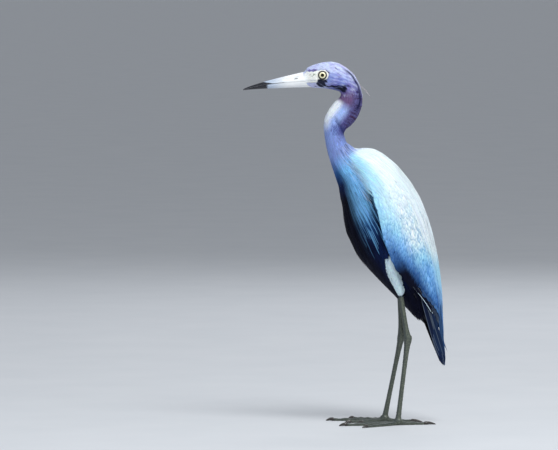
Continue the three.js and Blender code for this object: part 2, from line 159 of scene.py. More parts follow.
camera_data = bpy.data.cameras.new("camera")
camera = bpy.data.objects.new("camera", camera_data)
bpy.context.scene.collection.objects.link(camera)
camera_data.sensor_width = 36
camera_data.lens = camera_data.sensor_width * CAMERA_DISTANCE / PICTURE_WIDTH
camera_data.clip_end = 2 * FLOOR_HALF_SIZE
away = Vector((math.cos(CAMERA_HEIGHT_ANGLE), 0, math.sin(CAMERA_HEIGHT_ANGLE)))
camera.location = aim + away * CAMERA_DISTANCE
camera.rotation_euler = (-away).to_track_quat("-Z", "Y").to_euler()
bpy.context.scene.camera = camera
print("camera at", [round(v, 2) for v in camera.location], "lens", round(camera_data.lens))


# %% Floor and light
def soft_box(name, place, size, power, colour):
    data = bpy.data.lights.new(name, "AREA")
    data.size = size
    data.energy = power
    data.color = colour
    lamp = bpy.data.objects.new(name, data)
    lamp.location = place
    lamp.rotation_euler = (aim - Vector(place)).to_track_quat("-Z", "Y").to_euler()
    bpy.context.scene.collection.objects.link(lamp)
    return lamp


soft_box("key_light", (1.3, 0.75, 2.2), 1.3, 52, (0.97, 0.99, 1.0))
soft_box("front_fill", (1.6, -2.2, 1.2), 1.6, 14, (0.92, 0.96, 1.0))
soft_box("back_fill", (-2.0, 0.6, 1.6), 1.6, 16, (0.95, 0.97, 1.0))

world = bpy.data.worlds.new("studio")
bpy.context.scene.world = world
world.use_nodes = True
world.node_tree.nodes["Background"].inputs["Color"].default_value = (0.80, 0.84, 0.90, 1)
world.node_tree.nodes["Background"].inputs["Strength"].default_value = 0.5
bpy.context.scene.view_settings.view_transform = "Standard"

floor_mesh = bpy.data.meshes.new("floor")
floor_build = bmesh.new()
bmesh.ops.create_grid(floor_build, x_segments=1, y_segments=1, size=FLOOR_HALF_SIZE)
floor_build.to_mesh(floor_mesh)
floor_build.free()
floor = bpy.data.objects.new("floor", floor_mesh)
bpy.context.scene.collection.objects.link(floor)
print("floor:", 2 * FLOOR_HALF_SIZE, "m wide")


# %% [markdown]
# ## Materials
# A material is a small tree of nodes. These helpers make one and wire it, so that each finish
# below reads as a few lines. Values that are the same all over go straight on the shader.

# %% Material helpers
class Finish:
    """A material whose nodes are added one call at a time."""

    def __init__(self, name, **sockets):
        self.material = bpy.data.materials.new(name)
        self.material.use_nodes = True
        self.tree = self.material.node_tree
        self.shader = self.tree.nodes["Principled BSDF"]
        for key, value in sockets.items():
            self.shader.inputs[key.replace("_", " ")].default_value = value

    def node(self, kind, values=(), **settings):
        made = self.tree.nodes.new(kind)
        for key, value in settings.items():
            setattr(made, key, value)
        for key, value in dict(values).items():
            if isinstance(value, bpy.types.NodeSocket):
                self.tree.links.new(value, made.inputs[key])
            else:
                made.inputs[key].default_value = value
        return made

    def attribute(self, name, output="Fac"):
        return self.node("ShaderNodeAttribute", attribute_name=name).outputs[output]

    def axes(self, name):
        """The three numbers of a vector attribute."""
        vector = self.attribute(name, "Vector")
        return self.node("ShaderNodeSeparateXYZ", {0: vector}).outputs[:]

    def place(self):
        return self.node("ShaderNodeTexCoord").outputs["Object"]

    def noise(self, scale, detail=4, vector=None, rough=0.55):
        values = {"Scale": scale, "Detail": detail, "Roughness": rough,
                  "Vector": vector or self.place()}
        return self.node("ShaderNodeTexNoise", values).outputs["Fac"]

    def math(self, operation, a, b=0.0, clamp=False):
        made = self.node("ShaderNodeMath", {0: a, 1: b}, operation=operation, use_clamp=clamp)
        return made.outputs[0]

    def spread(self, value, low, high, to_low=0.0, to_high=1.0):
        values = {"Value": value, "From Min": low, "From Max": high,
                  "To Min": to_low, "To Max": to_high}
        return self.node("ShaderNodeMapRange", values).outputs[0]

    def mix(self, share, first, second, blend="MIX"):
        made = self.node("ShaderNodeMix", data_type="RGBA", blend_type=blend)
        for at, value in {0: share, 6: first, 7: second}.items():
            socket = made.inputs[at]
            if isinstance(value, bpy.types.NodeSocket):
                self.tree.links.new(value, socket)
            else:
                socket.default_value = value
        return made.outputs[2]

    def colour(self, socket):
        self.tree.links.new(socket, self.shader.inputs["Base Color"])

    def bump(self, height, strength, distance):
        values = {"Height": height, "Strength": strength, "Distance": distance}
        made = self.node("ShaderNodeBump", values)
        self.tree.links.new(made.outputs[0], self.shader.inputs["Normal"])


def paint(r, g, b):
    """A colour given as it looks on screen, 0 to 255, turned into the linear value a shader wants."""
    linear = [c / 255 / 12.92 if c <= 10 else ((c / 255 + 0.055) / 1.055) ** 2.4 for c in (r, g, b)]
    return (*linear, 1.0)


def tint(r, g, b):
    """The same, as an array of three for mixing in numpy."""
    return np.array(paint(r, g, b)[:3])


# %% Piece and mesh helpers
def new_piece(name, mesh, material, slot, *replaced):
    piece = bpy.data.objects.new(name, mesh)
    bpy.context.scene.collection.objects.link(piece)
    mesh.materials.clear()
    mesh.materials.append(material)
    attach(piece, "root")
    if replaced:
        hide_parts(*replaced)
    return piece


def mesh_from(build, name):
    mesh = bpy.data.meshes.new(name)
    build.to_mesh(mesh)
    build.free()
    mesh.polygons.foreach_set("use_smooth", np.full(len(mesh.polygons), True))
    return mesh


def mesh_points(mesh):
    flat = np.empty(len(mesh.vertices) * 3)
    mesh.vertices.foreach_get("co", flat)
    return flat.reshape(-1, 3)


def store(mesh, name, kind, values):
    """Keeps one value for each point of the mesh: a colour, a vector or a number."""
    attribute = mesh.attributes.new(name, kind, "POINT")
    if kind == "FLOAT_COLOR":
        values = np.column_stack([values, np.ones(len(values))])
    field = {"FLOAT_COLOR": "color", "FLOAT_VECTOR": "vector", "FLOAT": "value"}[kind]
    attribute.data.foreach_set(field, np.asarray(values, dtype=np.float32).ravel())


floor_finish = Finish("pale_floor", Roughness=0.85)
floor_finish.colour(floor_finish.mix(floor_finish.noise(9), paint(196, 199, 203), paint(206, 208, 211)))
floor_mesh.materials.append(floor_finish.material)


# %% [markdown]
# ## Outline of the bill
# The bill's outline is needed twice: by its own two halves, and by the skin of the face, which
# closes down on it. A formula gives the section at each share u of the way from tip to root.

# %% Outline of the bill
BILL_REACH = 77.0
BILL_RISE = 12.7
BILL_BEND = 0.72
ROOF = 0.28
bill_tip = Vector((0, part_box("bill_upper")[0].y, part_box("bill_lower")[0].z + 0.4 * MM))


def bill_section(u):
    """Height of the middle, half depth and half width, in millimetres, at u from tip to root."""
    blunt = np.sqrt(np.minimum(1.0, u / 0.012))
    return BILL_RISE * u ** BILL_BEND, (0.4 + 9.1 * u ** 0.84) * blunt, (0.35 + 6.1 * u ** 0.95) * blunt


def mouth_height(u):
    distance = BILL_REACH * u
    return 9.9 * (1 - np.exp(-distance / 29)) + 0.0125 * distance


print("bill tip", [round(v / MM, 1) for v in bill_tip])


# %% [markdown]
# ## The bare parts of the face
# A heron's face is bare from the bill back to a ring round the eye. Everything that touches this
# line asks the same function how bare a point is: the skin, which is pale there and has no coat
# to make room for, and the feathers, which don't grow there.

# %% Bare face
EYE_Y, EYE_Z = eye_centre["left"].y / MM, eye_centre["left"].z / MM
GAPE_END = (EYE_Y - 6.8, EYE_Z - 6.2)


def side_view(points):
    return points[:, 1] / MM, points[:, 2] / MM


def ring_reach(y, z):
    """The bare ring's outer radius, widest behind and before the eye."""
    turn = np.arctan2(z - EYE_Z, y - EYE_Y)
    return 6.35 + 0.55 * np.cos(2 * turn) + 0.2 * np.sin(7 * turn)


def bareness(points):
    """1 on the bare skin between the bill and the eye and round the eye, 0 in the plumage."""
    y, z = side_view(points)
    ring = fade(-0.45, 0.45, np.hypot(y - EYE_Y, z - EYE_Z) - ring_reach(y, z))
    upper_edge = EYE_Z + 3.9 + 2.0 * smoothstep(-11, -3, y - EYE_Y)
    upper_edge += 0.3 * np.sin(1.3 * y) + 0.15 * np.sin(3.1 * y)
    lower_edge = GAPE_END[1] - 2.3 + 0.25 * np.sin(1.1 * y + 1)
    lore = fade(-0.6, 0.6, z - upper_edge)
    lore *= smoothstep(-0.6, 0.6, z - lower_edge)
    behind = EYE_Y - 4.4 - 0.45 * np.maximum(0, EYE_Z - 4 - z)
    lore *= fade(-0.6, 0.6, y - behind)
    return np.maximum(ring, lore) * smoothstep(2.6, 4.0, np.abs(points[:, 0]) / MM)


# %% [markdown]
# ## Plumage colours
# The skin and every feather take their colour from the same function of place, so that a gap in
# the coat never shows. Head and neck are a dusky lavender with wine-dark ripples over the nape.
# The body is slate blue. Light from above is painted into these colours as well: the crown, the
# bend of the foreneck, the shoulder and back, the folded wing and the thighs are painted pale as
# highlights, and the throat, breast, belly and the wing's lower edge are painted dark as shade.

# %% Plumage colours
# Painted light: the pale tints of the crown, the foreneck, the shoulder, the wing and the thigh are
# painted highlights, and the darker tints of the throat and breast and the near-black belly are painted
# shade. The near-black navy is painted shade under the head, in the fold of the neck, under the wing's
# edge and on the belly; on the quills, wingtips and tail it is partly their own dark and partly painted
# shade.
CROWN = tint(206, 216, 250)
CHEEK = tint(134, 150, 220)
NAPE = tint(98, 96, 150)
PURPLE = tint(112, 88, 128)
LAVENDER = tint(168, 192, 246)
THROAT = tint(96, 104, 168)
FORENECK_HIGHLIGHT = tint(242, 249, 255)
NECK_BASE = tint(134, 156, 218)
AZURE = tint(124, 190, 244)
BREAST = tint(44, 90, 150)
BELLY_SHADE = tint(10, 32, 80)
SHOULDER_HIGHLIGHT = tint(236, 250, 254)
WING = tint(170, 226, 252)
WING_HIGHLIGHT = tint(206, 240, 253)
SKY = tint(136, 194, 246)
WING_LOW = tint(90, 142, 204)
WING_DUSK = tint(54, 96, 150)
FLIGHT = tint(36, 68, 116)
THIGH_HIGHLIGHT = tint(222, 246, 255)
WINE = tint(62, 30, 62)
NAVY_DARK_AND_SHADE = tint(5, 8, 32)


def along_stops(value, stops):
    """Colours between stops (place, colour), for an array of places."""
    places = [place for place, _ in stops]
    return np.stack([np.interp(value, places, [c[k] for _, c in stops]) for k in range(3)], 1)


def mixed(first, second, share):
    share = np.asarray(share)[:, None]
    return first * (1 - share) + second * share


print("palette from", CROWN.round(2), "on the crown to", BELLY_SHADE.round(2), "on the belly")


# %% [markdown]
# A point on a bird is best named by shares of the bird: how far along the body and how far round
# it, and on the wing how far down and how far across. A folded wing has no corner to measure
# from, so its leading edge is read off the edges of the solid.

# %% Places on the body and the wing
def body_angle(points):
    """The angle round the body line, 0 along the back, plus or minus pi under the belly."""
    length, direction, middle = along_body(points)
    offset = points[:, 1:3] - middle
    height = offset[:, 1] * direction[:, 0] - offset[:, 0] * direction[:, 1]
    return length, np.arctan2(points[:, 0], height)


# The upper neck hangs over the lower one in a fold. Its crease runs down each side (y, z).
CREASE = np.array([(-10.5, 343.5), (-1.0, 325.0)])


def crease(points):
    """1 in the bottom of the fold of the neck, falling to 0 at about 3 mm from it."""
    flat = np.stack(side_view(points), 1)
    step = CREASE[1] - CREASE[0]
    share = np.clip(((flat - CREASE[0]) @ step) / (step @ step), 0, 1)
    distance = np.linalg.norm(flat - CREASE[0] - share[:, None] * step, axis=1)
    return bell(distance, 0, 1.7) * (0.35 + 0.65 * share)


def wing_table():
    """The angle of a wing's leading edge for lengths along the body line."""
    mesh = nodes["wing_left"].data
    ends = mesh_points(mesh)[[edge.vertices[:] for edge in mesh.edges]]
    share = np.linspace(0, 1, 16)[:, None, None]
    length, angle = body_angle((ends[:, 0] * (1 - share) + ends[:, 1] * share).reshape(-1, 3))
    stops = np.linspace(length.min(), length.max(), 24)
    return stops, np.array([angle[np.abs(length - stop) < 5 * MM].max() for stop in stops])


WING_LENGTHS, WING_EDGE = wing_table()


def wing_shares(length, angle):
    """Shares of the wing: u from shoulder to tip, v from the back's midline to the leading edge."""
    u = (length - WING_LENGTHS[0]) / (WING_LENGTHS[-1] - WING_LENGTHS[0])
    return u, np.abs(angle) / np.interp(length, WING_LENGTHS, WING_EDGE)


def wing_share(points):
    return wing_shares(*body_angle(points))


print("wing:", round((WING_LENGTHS[-1] - WING_LENGTHS[0]) / MM), "mm down the body line")


# %% [markdown]
# Streaks waver and patches have ragged rims. A painted texture could show that, but a few waves
# through space, added up, give the skin and the feathers over it the very same markings.

# %% Markings and painted shade of the head and the neck
WAVES = rng.standard_normal((6, 3))


def mottle(points, size):
    """A smooth random pattern over space, from about -1 to 1, in patches of a size in millimetres."""
    phase = points / MM / size @ WAVES.T * 2 + WAVES[:, 0] * 7
    return np.sin(phase).sum(1) / 2.4


def patch(points, y, z, reach_y, reach_z, turn=0.0):
    """1 in an oval of the side of the head, 0 outside, measured from the eye's centre."""
    along, up = side_view(points)
    along, up = along - EYE_Y - y, up - EYE_Z - z
    ahead = along * math.cos(turn) + up * math.sin(turn)
    above = up * math.cos(turn) - along * math.sin(turn)
    return np.exp(-((ahead / reach_y) ** 4) - ((above / reach_z) ** 4))


def crest_line(points):
    """1 in the dusky line on each side of the nape, just inside the bright edge of the crest."""
    length, angle = body_angle(points)
    along = length / MM
    return bell(np.abs(angle), 0.6, 0.17) * smoothstep(38, 48, along) * fade(74, 86, along)


def head_marked(colour, points):
    """The head's markings: streaks on the cheek, dark spots over the lores and a dark line along the
    cheek's lower edge; and painted shadow under the eye and under the corner of the jaw.
    """
    y, z = side_view(points)
    sideways = smoothstep(3, 6, np.abs(points[:, 0]) / MM)
    behind_eye = smoothstep(EYE_Y + 4, EYE_Y + 16, y) * sideways
    phase = 1.5 * (z - EYE_Z) + 0.45 * (y - EYE_Y) + 2.6 * mottle(points, 5)
    streaks = np.sin(phase) + 0.8 * mottle(points, 2.2)
    blotch = mottle(points, 3)
    colour = mixed(colour, tint(112, 106, 184), 0.42 * behind_eye * np.clip(streaks, 0, 1))
    colour = mixed(colour, tint(214, 222, 250), 0.42 * behind_eye * np.clip(-streaks, 0, 1))
    colour = mixed(colour, tint(150, 140, 214), 0.3 * np.clip(blotch, 0, 1))
    chin = patch(points, -9.5, -11.5, 8, 3.6)
    colour = mixed(colour, tint(206, 208, 244), 0.8 * chin)
    ragged = 0.3 * mottle(points, 2.4)
    spots = smoothstep(0.4, 0.75, patch(points, -11.5, 4.9, 7.6, 1.7, 0.06) + 1.4 * ragged)
    colour = mixed(colour, tint(88, 70, 150), 0.8 * sideways * spots)
    # Painted shadow under the eye and under the corner of the jaw, with the dark line along the cheek's
    # lower edge.
    below_eye = patch(points, -0.8, -8.8, 6.0, 5.0, -0.3)
    cheek_line = patch(points, 17, -12.0 + 0.3 * np.sin(0.8 * y), 13.5, 0.9)
    jaw = patch(points, 20.5, -15.6, 6.5, 3.4)
    shadow_and_cheek_line = smoothstep(0.3, 0.7, np.maximum(below_eye, np.maximum(cheek_line, jaw)) + ragged)
    return mixed(colour, NAVY_DARK_AND_SHADE, 0.96 * sideways * shadow_and_cheek_line * (y > EYE_Y - 9))


def neck_marked(colour, points):
    """The neck's markings: wine-dark ripples across the nape, where its feathers' tips line up; and
    painted shade in the bottom of the fold of the neck.
    """
    length, angle = body_angle(points)
    along = length / MM
    rear = fade(0.9, 1.6, np.abs(angle) + 0.014 * (along - 70))
    rear *= smoothstep(56, 66, along) * fade(106, 136, along)
    ripple = np.sin(2 * np.pi * along / 2.7 + 2.2 * mottle(points, 7))
    colour = mixed(colour, WINE, rear * (0.06 + 0.8 * smoothstep(0.0, 0.8, ripple)))
    # Painted shade in the bottom of the fold of the neck.
    return mixed(colour, NAVY_DARK_AND_SHADE, 0.8 * crease(points))


# %% Colours of the wing and the body
def wing_colour(points):
    """Painted near white as a highlight on the shoulder and along the back, bluer down the wing, and
    painted dark as shade along its edge below.
    """
    u, v = wing_share(points)
    back = along_stops(u, [(0.58, SHOULDER_HIGHLIGHT), (0.66, WING), (0.72, WING), (0.79, SKY), (0.87, WING_LOW),
                           (1, FLIGHT)])
    middle = along_stops(u, [(0.5, SHOULDER_HIGHLIGHT), (0.58, WING), (0.65, SKY), (0.7, SKY), (0.78, WING_LOW),
                             (0.88, WING_DUSK), (1, FLIGHT)])
    # A painted highlight in the middle of the outer wing.
    outer = along_stops(u, [(0.16, WING), (0.28, WING_HIGHLIGHT), (0.42, WING), (0.5, SKY),
                            (0.58, WING_LOW), (0.65, WING_DUSK), (0.76, WING_DUSK), (0.85, FLIGHT)])
    # Painted shade under the leading edge, below the wing's middle.
    edge = along_stops(u, [(0.36, WING), (0.42, SKY), (0.5, WING_LOW), (0.55, WING_DUSK),
                           (0.61, NAVY_DARK_AND_SHADE)])
    colour = mixed(back, middle, smoothstep(0.2, 0.5, v))
    colour = mixed(colour, outer, smoothstep(0.58, 0.82, v))
    return mixed(colour, edge, smoothstep(0.8, 0.93, v))


def cleft(points):
    """1 in the shade under the leading edge of the folded wing."""
    u, v = wing_share(points)
    return bell(v, 1.02, 0.07) * smoothstep(0.16, 0.26, u) * fade(0.7, 0.8, u)


# The thigh's feathering, painted pale as a highlight, ends in a round top, here in millimetres.
THIGH_TOP = 190
THIGH_Y = 54


def above_thigh(points):
    """1 on the flank over the thigh's feathers, which are painted pale as a highlight; 0 below."""
    y, z = side_view(points)
    return smoothstep(-1, 1, z - THIGH_TOP + 0.03 * (y - THIGH_Y) ** 2)


def plumage(points, part):
    """The coat's colour at each point of one part of the body."""
    length, angle = body_angle(points)
    along = length / MM
    angle = np.abs(angle)
    # Painted light: the thigh is painted pale as a highlight, and the flank above it dark as shade.
    if part == "thigh":
        return mixed(np.tile(THIGH_HIGHLIGHT, (len(points), 1)), BELLY_SHADE, above_thigh(points))
    if part in ("wing", "mantle"):
        return wing_colour(points)
    # Painted light from above: the top and upper sides are painted pale as highlights, and the underside
    # is painted dark as shade, from the throat down the breast and belly.
    under = along_stops(along, [(20, CROWN), (34, THROAT), (58, THROAT), (66, PURPLE), (77, PURPLE),
                                (82, FORENECK_HIGHLIGHT), (100, FORENECK_HIGHLIGHT), (116, NECK_BASE), (138, NECK_BASE),
                                (152, BREAST), (170, BELLY_SHADE), (186, NAVY_DARK_AND_SHADE)])
    side = along_stops(along, [(14, CROWN), (32, CHEEK), (50, CHEEK), (66, PURPLE), (77, PURPLE),
                               (87, LAVENDER), (98, LAVENDER), (112, NECK_BASE), (138, NECK_BASE),
                               (156, AZURE), (206, AZURE), (224, BREAST), (246, BELLY_SHADE), (290, BELLY_SHADE),
                               (312, NAVY_DARK_AND_SHADE)])
    top = along_stops(along, [(46, CROWN), (62, NAPE), (112, NAPE), (128, NECK_BASE), (143, NECK_BASE),
                              (152, SKY), (160, SHOULDER_HIGHLIGHT), (210, SHOULDER_HIGHLIGHT), (240, BREAST), (270, NAVY_DARK_AND_SHADE)])
    colour = mixed(side, under, smoothstep(1.95, 2.6, angle))
    colour = mixed(top, colour, smoothstep(0.9, 1.7, angle))
    if part == "trunk":
        return mixed(colour, NAVY_DARK_AND_SHADE, 0.85 * cleft(points))
    colour = head_marked(colour, points) if part == "head" else neck_marked(colour, points)
    return mixed(colour, tint(20, 20, 66), 0.95 * crest_line(points))


# %% [markdown]
# ## One skin for all the flesh
# Head, neck, trunk, wings, back and thighs are separate solids with thin gaps between them. A
# living bird has one skin. Copies of the solids are swollen a hair so that they overlap, a voxel
# remesh wraps them in one surface, and smoothing takes off the facets and seams. The face is
# then divided finer and closed down on the bill, and the whole skin is drawn inwards by the depth
# of the coat, which is nothing on the bare face, deepest on the breast, and never more than about
# a third of the flesh there is, because a wing's edge is thin.

# %% The parts and the depth of their coats
FLESH = {
    "head": ["head"],
    "neck": ["neck_upper", "neck_middle", "neck_lower"],
    "trunk": ["trunk"],
    "wing": ["wing_left", "wing_right"],
    "mantle": ["mantle"],
    "thigh": ["thigh_left", "thigh_right"],
}
COAT_DEPTH = {"head": 0.9, "neck": 1.9, "trunk": 3.0, "wing": 2.2, "mantle": 2.4, "thigh": 2.0}
BARE_DEPTH = 0.15
WALL_SHARE = 0.36
SWELL = 0.25 * MM
VOXEL = 1.5 * MM
THICKEST_WALL = 50 * MM


# %% Copies and wraps of the solids
def merged_copy(names, swell=0.0):
    build = bmesh.new()
    for name in names:
        build.from_mesh(nodes[name].data)
    bmesh.ops.remove_doubles(build, verts=build.verts, dist=1e-6)
    build.normal_update()
    moved = [v.co + v.normal * swell for v in build.verts]
    for v, place in zip(build.verts, moved):
        v.co = place
    return build


def remeshed(build, voxel, name):
    """The voxel remesh of a bmesh, as a new bmesh. Its largest closed surface is kept."""
    mesh = mesh_from(build, name)
    shell = bpy.data.objects.new(name, mesh)
    bpy.context.scene.collection.objects.link(shell)
    wrap = shell.modifiers.new("wrap", "REMESH")
    wrap.mode = "VOXEL"
    wrap.voxel_size = voxel
    graph = bpy.context.evaluated_depsgraph_get()
    result = bmesh.new()
    result.from_mesh(shell.evaluated_get(graph).to_mesh())
    bpy.data.objects.remove(shell)
    bpy.data.meshes.remove(mesh)
    unseen = set(result.verts)
    islands = []
    while unseen:
        island, edge_of_island = set(), [unseen.pop()]
        while edge_of_island:
            v = edge_of_island.pop()
            island.add(v)
            fresh = [e.other_vert(v) for e in v.link_edges if e.other_vert(v) in unseen]
            unseen.difference_update(fresh)
            edge_of_island.extend(fresh)
        islands.append(island)
    islands.sort(key=len)
    for island in islands[:-1]:
        bmesh.ops.delete(result, geom=list(island), context="VERTS")
    return result


def smoothed(build, rounds, verts=None, factor=0.5):
    for _ in range(rounds):
        bmesh.ops.smooth_vert(build, verts=verts or build.verts, factor=factor,
                              use_axis_x=True, use_axis_y=True, use_axis_z=True)


# %% Wrap the solids in one skin
flesh_names = [name for names in FLESH.values() for name in names]
skin_build = remeshed(merged_copy(flesh_names, SWELL), VOXEL, "skin_wrap")
smoothed(skin_build, 14)
print("skin:", len(skin_build.verts), "points")


# %% Divide the face finer
def build_points(build):
    return np.array([v.co for v in build.verts])


def near_face(build, reach):
    """The edges of the face within a reach of the eye's centre or of the line to the bill."""
    points = build_points(build)
    y, z = side_view(points)
    along = np.clip(y, EYE_Y - 22, EYE_Y)
    close = np.hypot(y - along, z - (EYE_Z - 2)) < reach
    build.verts.ensure_lookup_table()
    return [e for e in build.edges if close[e.verts[0].index] and close[e.verts[1].index]]


for reach in (14, 10.5):
    skin_build.verts.index_update()
    bmesh.ops.subdivide_edges(skin_build, edges=near_face(skin_build, reach), cuts=1, use_grid_fill=True)
    skin_build.verts.index_update()
    close_verts = list({v for e in near_face(skin_build, reach + 1) for v in e.verts})
    smoothed(skin_build, 3, close_verts)
print("skin with a finer face:", len(skin_build.verts), "points")


# %% Which part of the body each point belongs to
def surface_tree(names):
    build = merged_copy(names)
    tree = BVHTree.FromBMesh(build)
    build.free()
    return tree


part_trees = {part: surface_tree(names) for part, names in FLESH.items()}
PARTS = list(FLESH)


def part_of(points):
    """The index in PARTS of the solid nearest to each point."""
    found = np.empty((len(points), len(PARTS)))
    for k, part in enumerate(PARTS):
        nearest = part_trees[part].find_nearest
        found[:, k] = [nearest(Vector(p))[3] for p in points]
    return found.argmin(1)


# %% Close the face down on the bill
def drawn_to_bill(points):
    """The points of the head's front, moved in so that the sides and chin meet the bill's horn."""
    u = np.clip((points[:, 1] - bill_tip.y) / MM / BILL_REACH, 0.5, 1)
    middle, half_depth, half_width = bill_section(u)
    across, up = points[:, 0] / MM, (points[:, 2] - bill_tip.z) / MM - middle
    turn = np.arctan2(across / half_width, up / half_depth)
    roof = 1 - ROOF * np.maximum(0, np.cos(turn))
    horn = np.hypot(half_width * np.sin(turn) * roof, half_depth * np.cos(turn))
    reach = np.hypot(across, up)
    back = EYE_Y - 9 - 7.5 * np.maximum(0, np.cos(turn))
    share = fade(EYE_Y - 21, back, points[:, 1] / MM)
    wanted = reach - share * np.maximum(0, reach - horn - 0.2)
    scale = wanted / np.maximum(reach, 1e-6)
    height = bill_tip.z + (middle + up * scale) * MM
    return np.column_stack([points[:, 0] * scale, points[:, 1], height])


drawn = drawn_to_bill(build_points(skin_build))
moved = np.linalg.norm(drawn - build_points(skin_build), axis=1)
for v, place in zip(skin_build.verts, drawn):
    v.co = place
print("drawn in by up to", round(moved.max() / MM, 1), "mm at the bill")


# %% Draw the skin in by the depth of the coat
def evened(values, rounds):
    """Values at the skin's points, each one blended with its neighbours' a number of times."""
    ends = np.array([[v.index for v in e.verts] for e in skin_build.edges])
    neighbours = np.bincount(ends.ravel(), minlength=len(values))
    for _ in range(rounds):
        total = np.bincount(ends[:, 0], values[ends[:, 1]], len(values))
        total += np.bincount(ends[:, 1], values[ends[:, 0]], len(values))
        values = 0.5 * values + 0.5 * total / neighbours
    return values


skin_build.verts.index_update()
skin_build.normal_update()
skin_points = build_points(skin_build)
skin_tree = BVHTree.FromBMesh(skin_build)
wall = np.full(len(skin_points), THICKEST_WALL)
for i, v in enumerate(skin_build.verts):
    far_side = skin_tree.ray_cast(v.co - v.normal * 0.1 * MM, -v.normal, THICKEST_WALL)[3]
    wall[i] = far_side or THICKEST_WALL

skin_part = part_of(skin_points)
depth = evened(np.array([COAT_DEPTH[part] for part in PARTS])[skin_part] * MM, 30)
from_bill = np.abs(skin_points[:, 1] / MM - (EYE_Y - 21))
face_depth = depth * (0.35 + 0.65 * smoothstep(2, 30, from_bill))
depth = np.where(skin_part == PARTS.index("head"), face_depth, depth)
depth = evened(np.minimum(depth, WALL_SHARE * evened(wall, 4)), 4)
depth += (BARE_DEPTH * MM - depth) * bareness(skin_points)

coat_depth = skin_build.verts.layers.float.new("coat_depth")
fold_depth = 0.8 * MM * crease(skin_points)
for v, inward, fold in zip(skin_build.verts, depth, fold_depth):
    v.co -= v.normal * (inward + fold)
    v[coat_depth] = inward
print("coat depth from", round(depth.min() / MM, 2), "to", round(depth.max() / MM, 2), "mm")


# %% [markdown]
# ## Eyelids and sockets
# The eye sits in a round socket. Its lids are a fleshy ring that wraps the eyeball closely, with
# a dark rim inside and a pale swelling outside. A round hole is cut in the skin and rings of
# points are bridged from its edge, over the lid and down behind the eyeball, which gives a
# cleaner circle than pushing the existing points about would.

# %% Lids
LID_POINTS = 72
LID_OPENING = 4.35
# The lid's profile: radius from the eye's axis, and how far it stands off the eyeball or skin.
LID_PROFILE = [(6.35, 0.0), (6.15, 0.1), (5.85, 0.28), (5.5, 0.44), (5.15, 0.5), (4.85, 0.46),
               (4.6, 0.3), (4.42, 0.14), (LID_OPENING, 0.0)]
HOLE_RADIUS = 6.85
SOCKET_ROOM = 1.03
SOCKET_TURN = math.radians(165)
SOCKET_RINGS = 6
OUTSIDE = 50 * MM


def ring_of(build, place):
    """A ring of points, each put where place(angle) says, and its edges."""
    made = bmesh.ops.create_circle(build, cap_ends=False, radius=MM, segments=LID_POINTS)["verts"]
    for k, v in enumerate(made):
        v.co = place(2 * math.pi * k / LID_POINTS)
    return list({e for v in made for e in v.link_edges})


def seat_lid(build, side):
    sign = SIDES[side]
    centre = eye_centre[side]
    skin_tree = BVHTree.FromBMesh(build)

    def skin_x(y, z):
        hit = skin_tree.ray_cast(Vector((sign * OUTSIDE, y, z)), Vector((-sign, 0, 0)))[0]
        return hit.x

    def off_axis(place):
        return math.hypot(place.y - centre.y, place.z - centre.z)

    def in_hole(place):
        return place.x * sign > 4 * MM and off_axis(place) < HOLE_RADIUS * MM

    hole = [f for f in build.faces if in_hole(f.calc_center_median())]
    bmesh.ops.delete(build, geom=hole, context="FACES")
    edge = [e for e in build.edges if e.is_boundary]

    def lid_place(radius, standing):
        def place(angle):
            y = centre.y + radius * MM * math.cos(angle)
            z = centre.z + radius * MM * math.sin(angle)
            on_ball = centre.x + sign * math.sqrt(eye_radius ** 2 - (min(radius, 5.2) * MM) ** 2)
            share = smoothstep(LID_OPENING, 6.3, radius)
            level = on_ball + (skin_x(y, z) - on_ball) * share
            wrinkle = 0.06 * math.sin(19 * angle) * math.sin(math.pi * share)
            return Vector((level + sign * (standing + 0.28 * (1 - share) + wrinkle) * MM, y, z))
        return place

    def socket_place(turn):
        def place(angle):
            radius = eye_radius * SOCKET_ROOM
            reach = radius * math.sin(turn)
            return Vector((centre.x + sign * radius * math.cos(turn),
                           centre.y + reach * math.cos(angle), centre.z + reach * math.sin(angle)))
        return place

    rings = [ring_of(build, lid_place(radius, standing)) for radius, standing in LID_PROFILE]
    opening_turn = math.asin(LID_OPENING * MM / eye_radius)
    for k in range(1, SOCKET_RINGS + 1):
        turn = opening_turn + (SOCKET_TURN - opening_turn) * k / SOCKET_RINGS
        rings.append(ring_of(build, socket_place(turn)))
    for first, second in zip([edge] + rings, rings):
        bmesh.ops.bridge_loops(build, edges=first + second)
    bmesh.ops.contextual_create(build, geom=rings[-1])


for side in SIDES:
    seat_lid(skin_build, side)
bmesh.ops.recalc_face_normals(skin_build, faces=skin_build.faces)
print("skin with lids:", len(skin_build.verts), "points")


# %% [markdown]
# ## The bare face
# Bare skin is finely creased and sinks in before the eye, and the line of the mouth runs on over
# it between two low lips. A painted map could fake that. Here noise and a few bell curves move
# the points themselves, so that the folds also show in the outline.

# %% Folds of the bare face
def gape_height(y):
    """Height of the line of the mouth where it runs on over the face."""
    return GAPE_END[1] - 0.055 * (GAPE_END[0] - y)


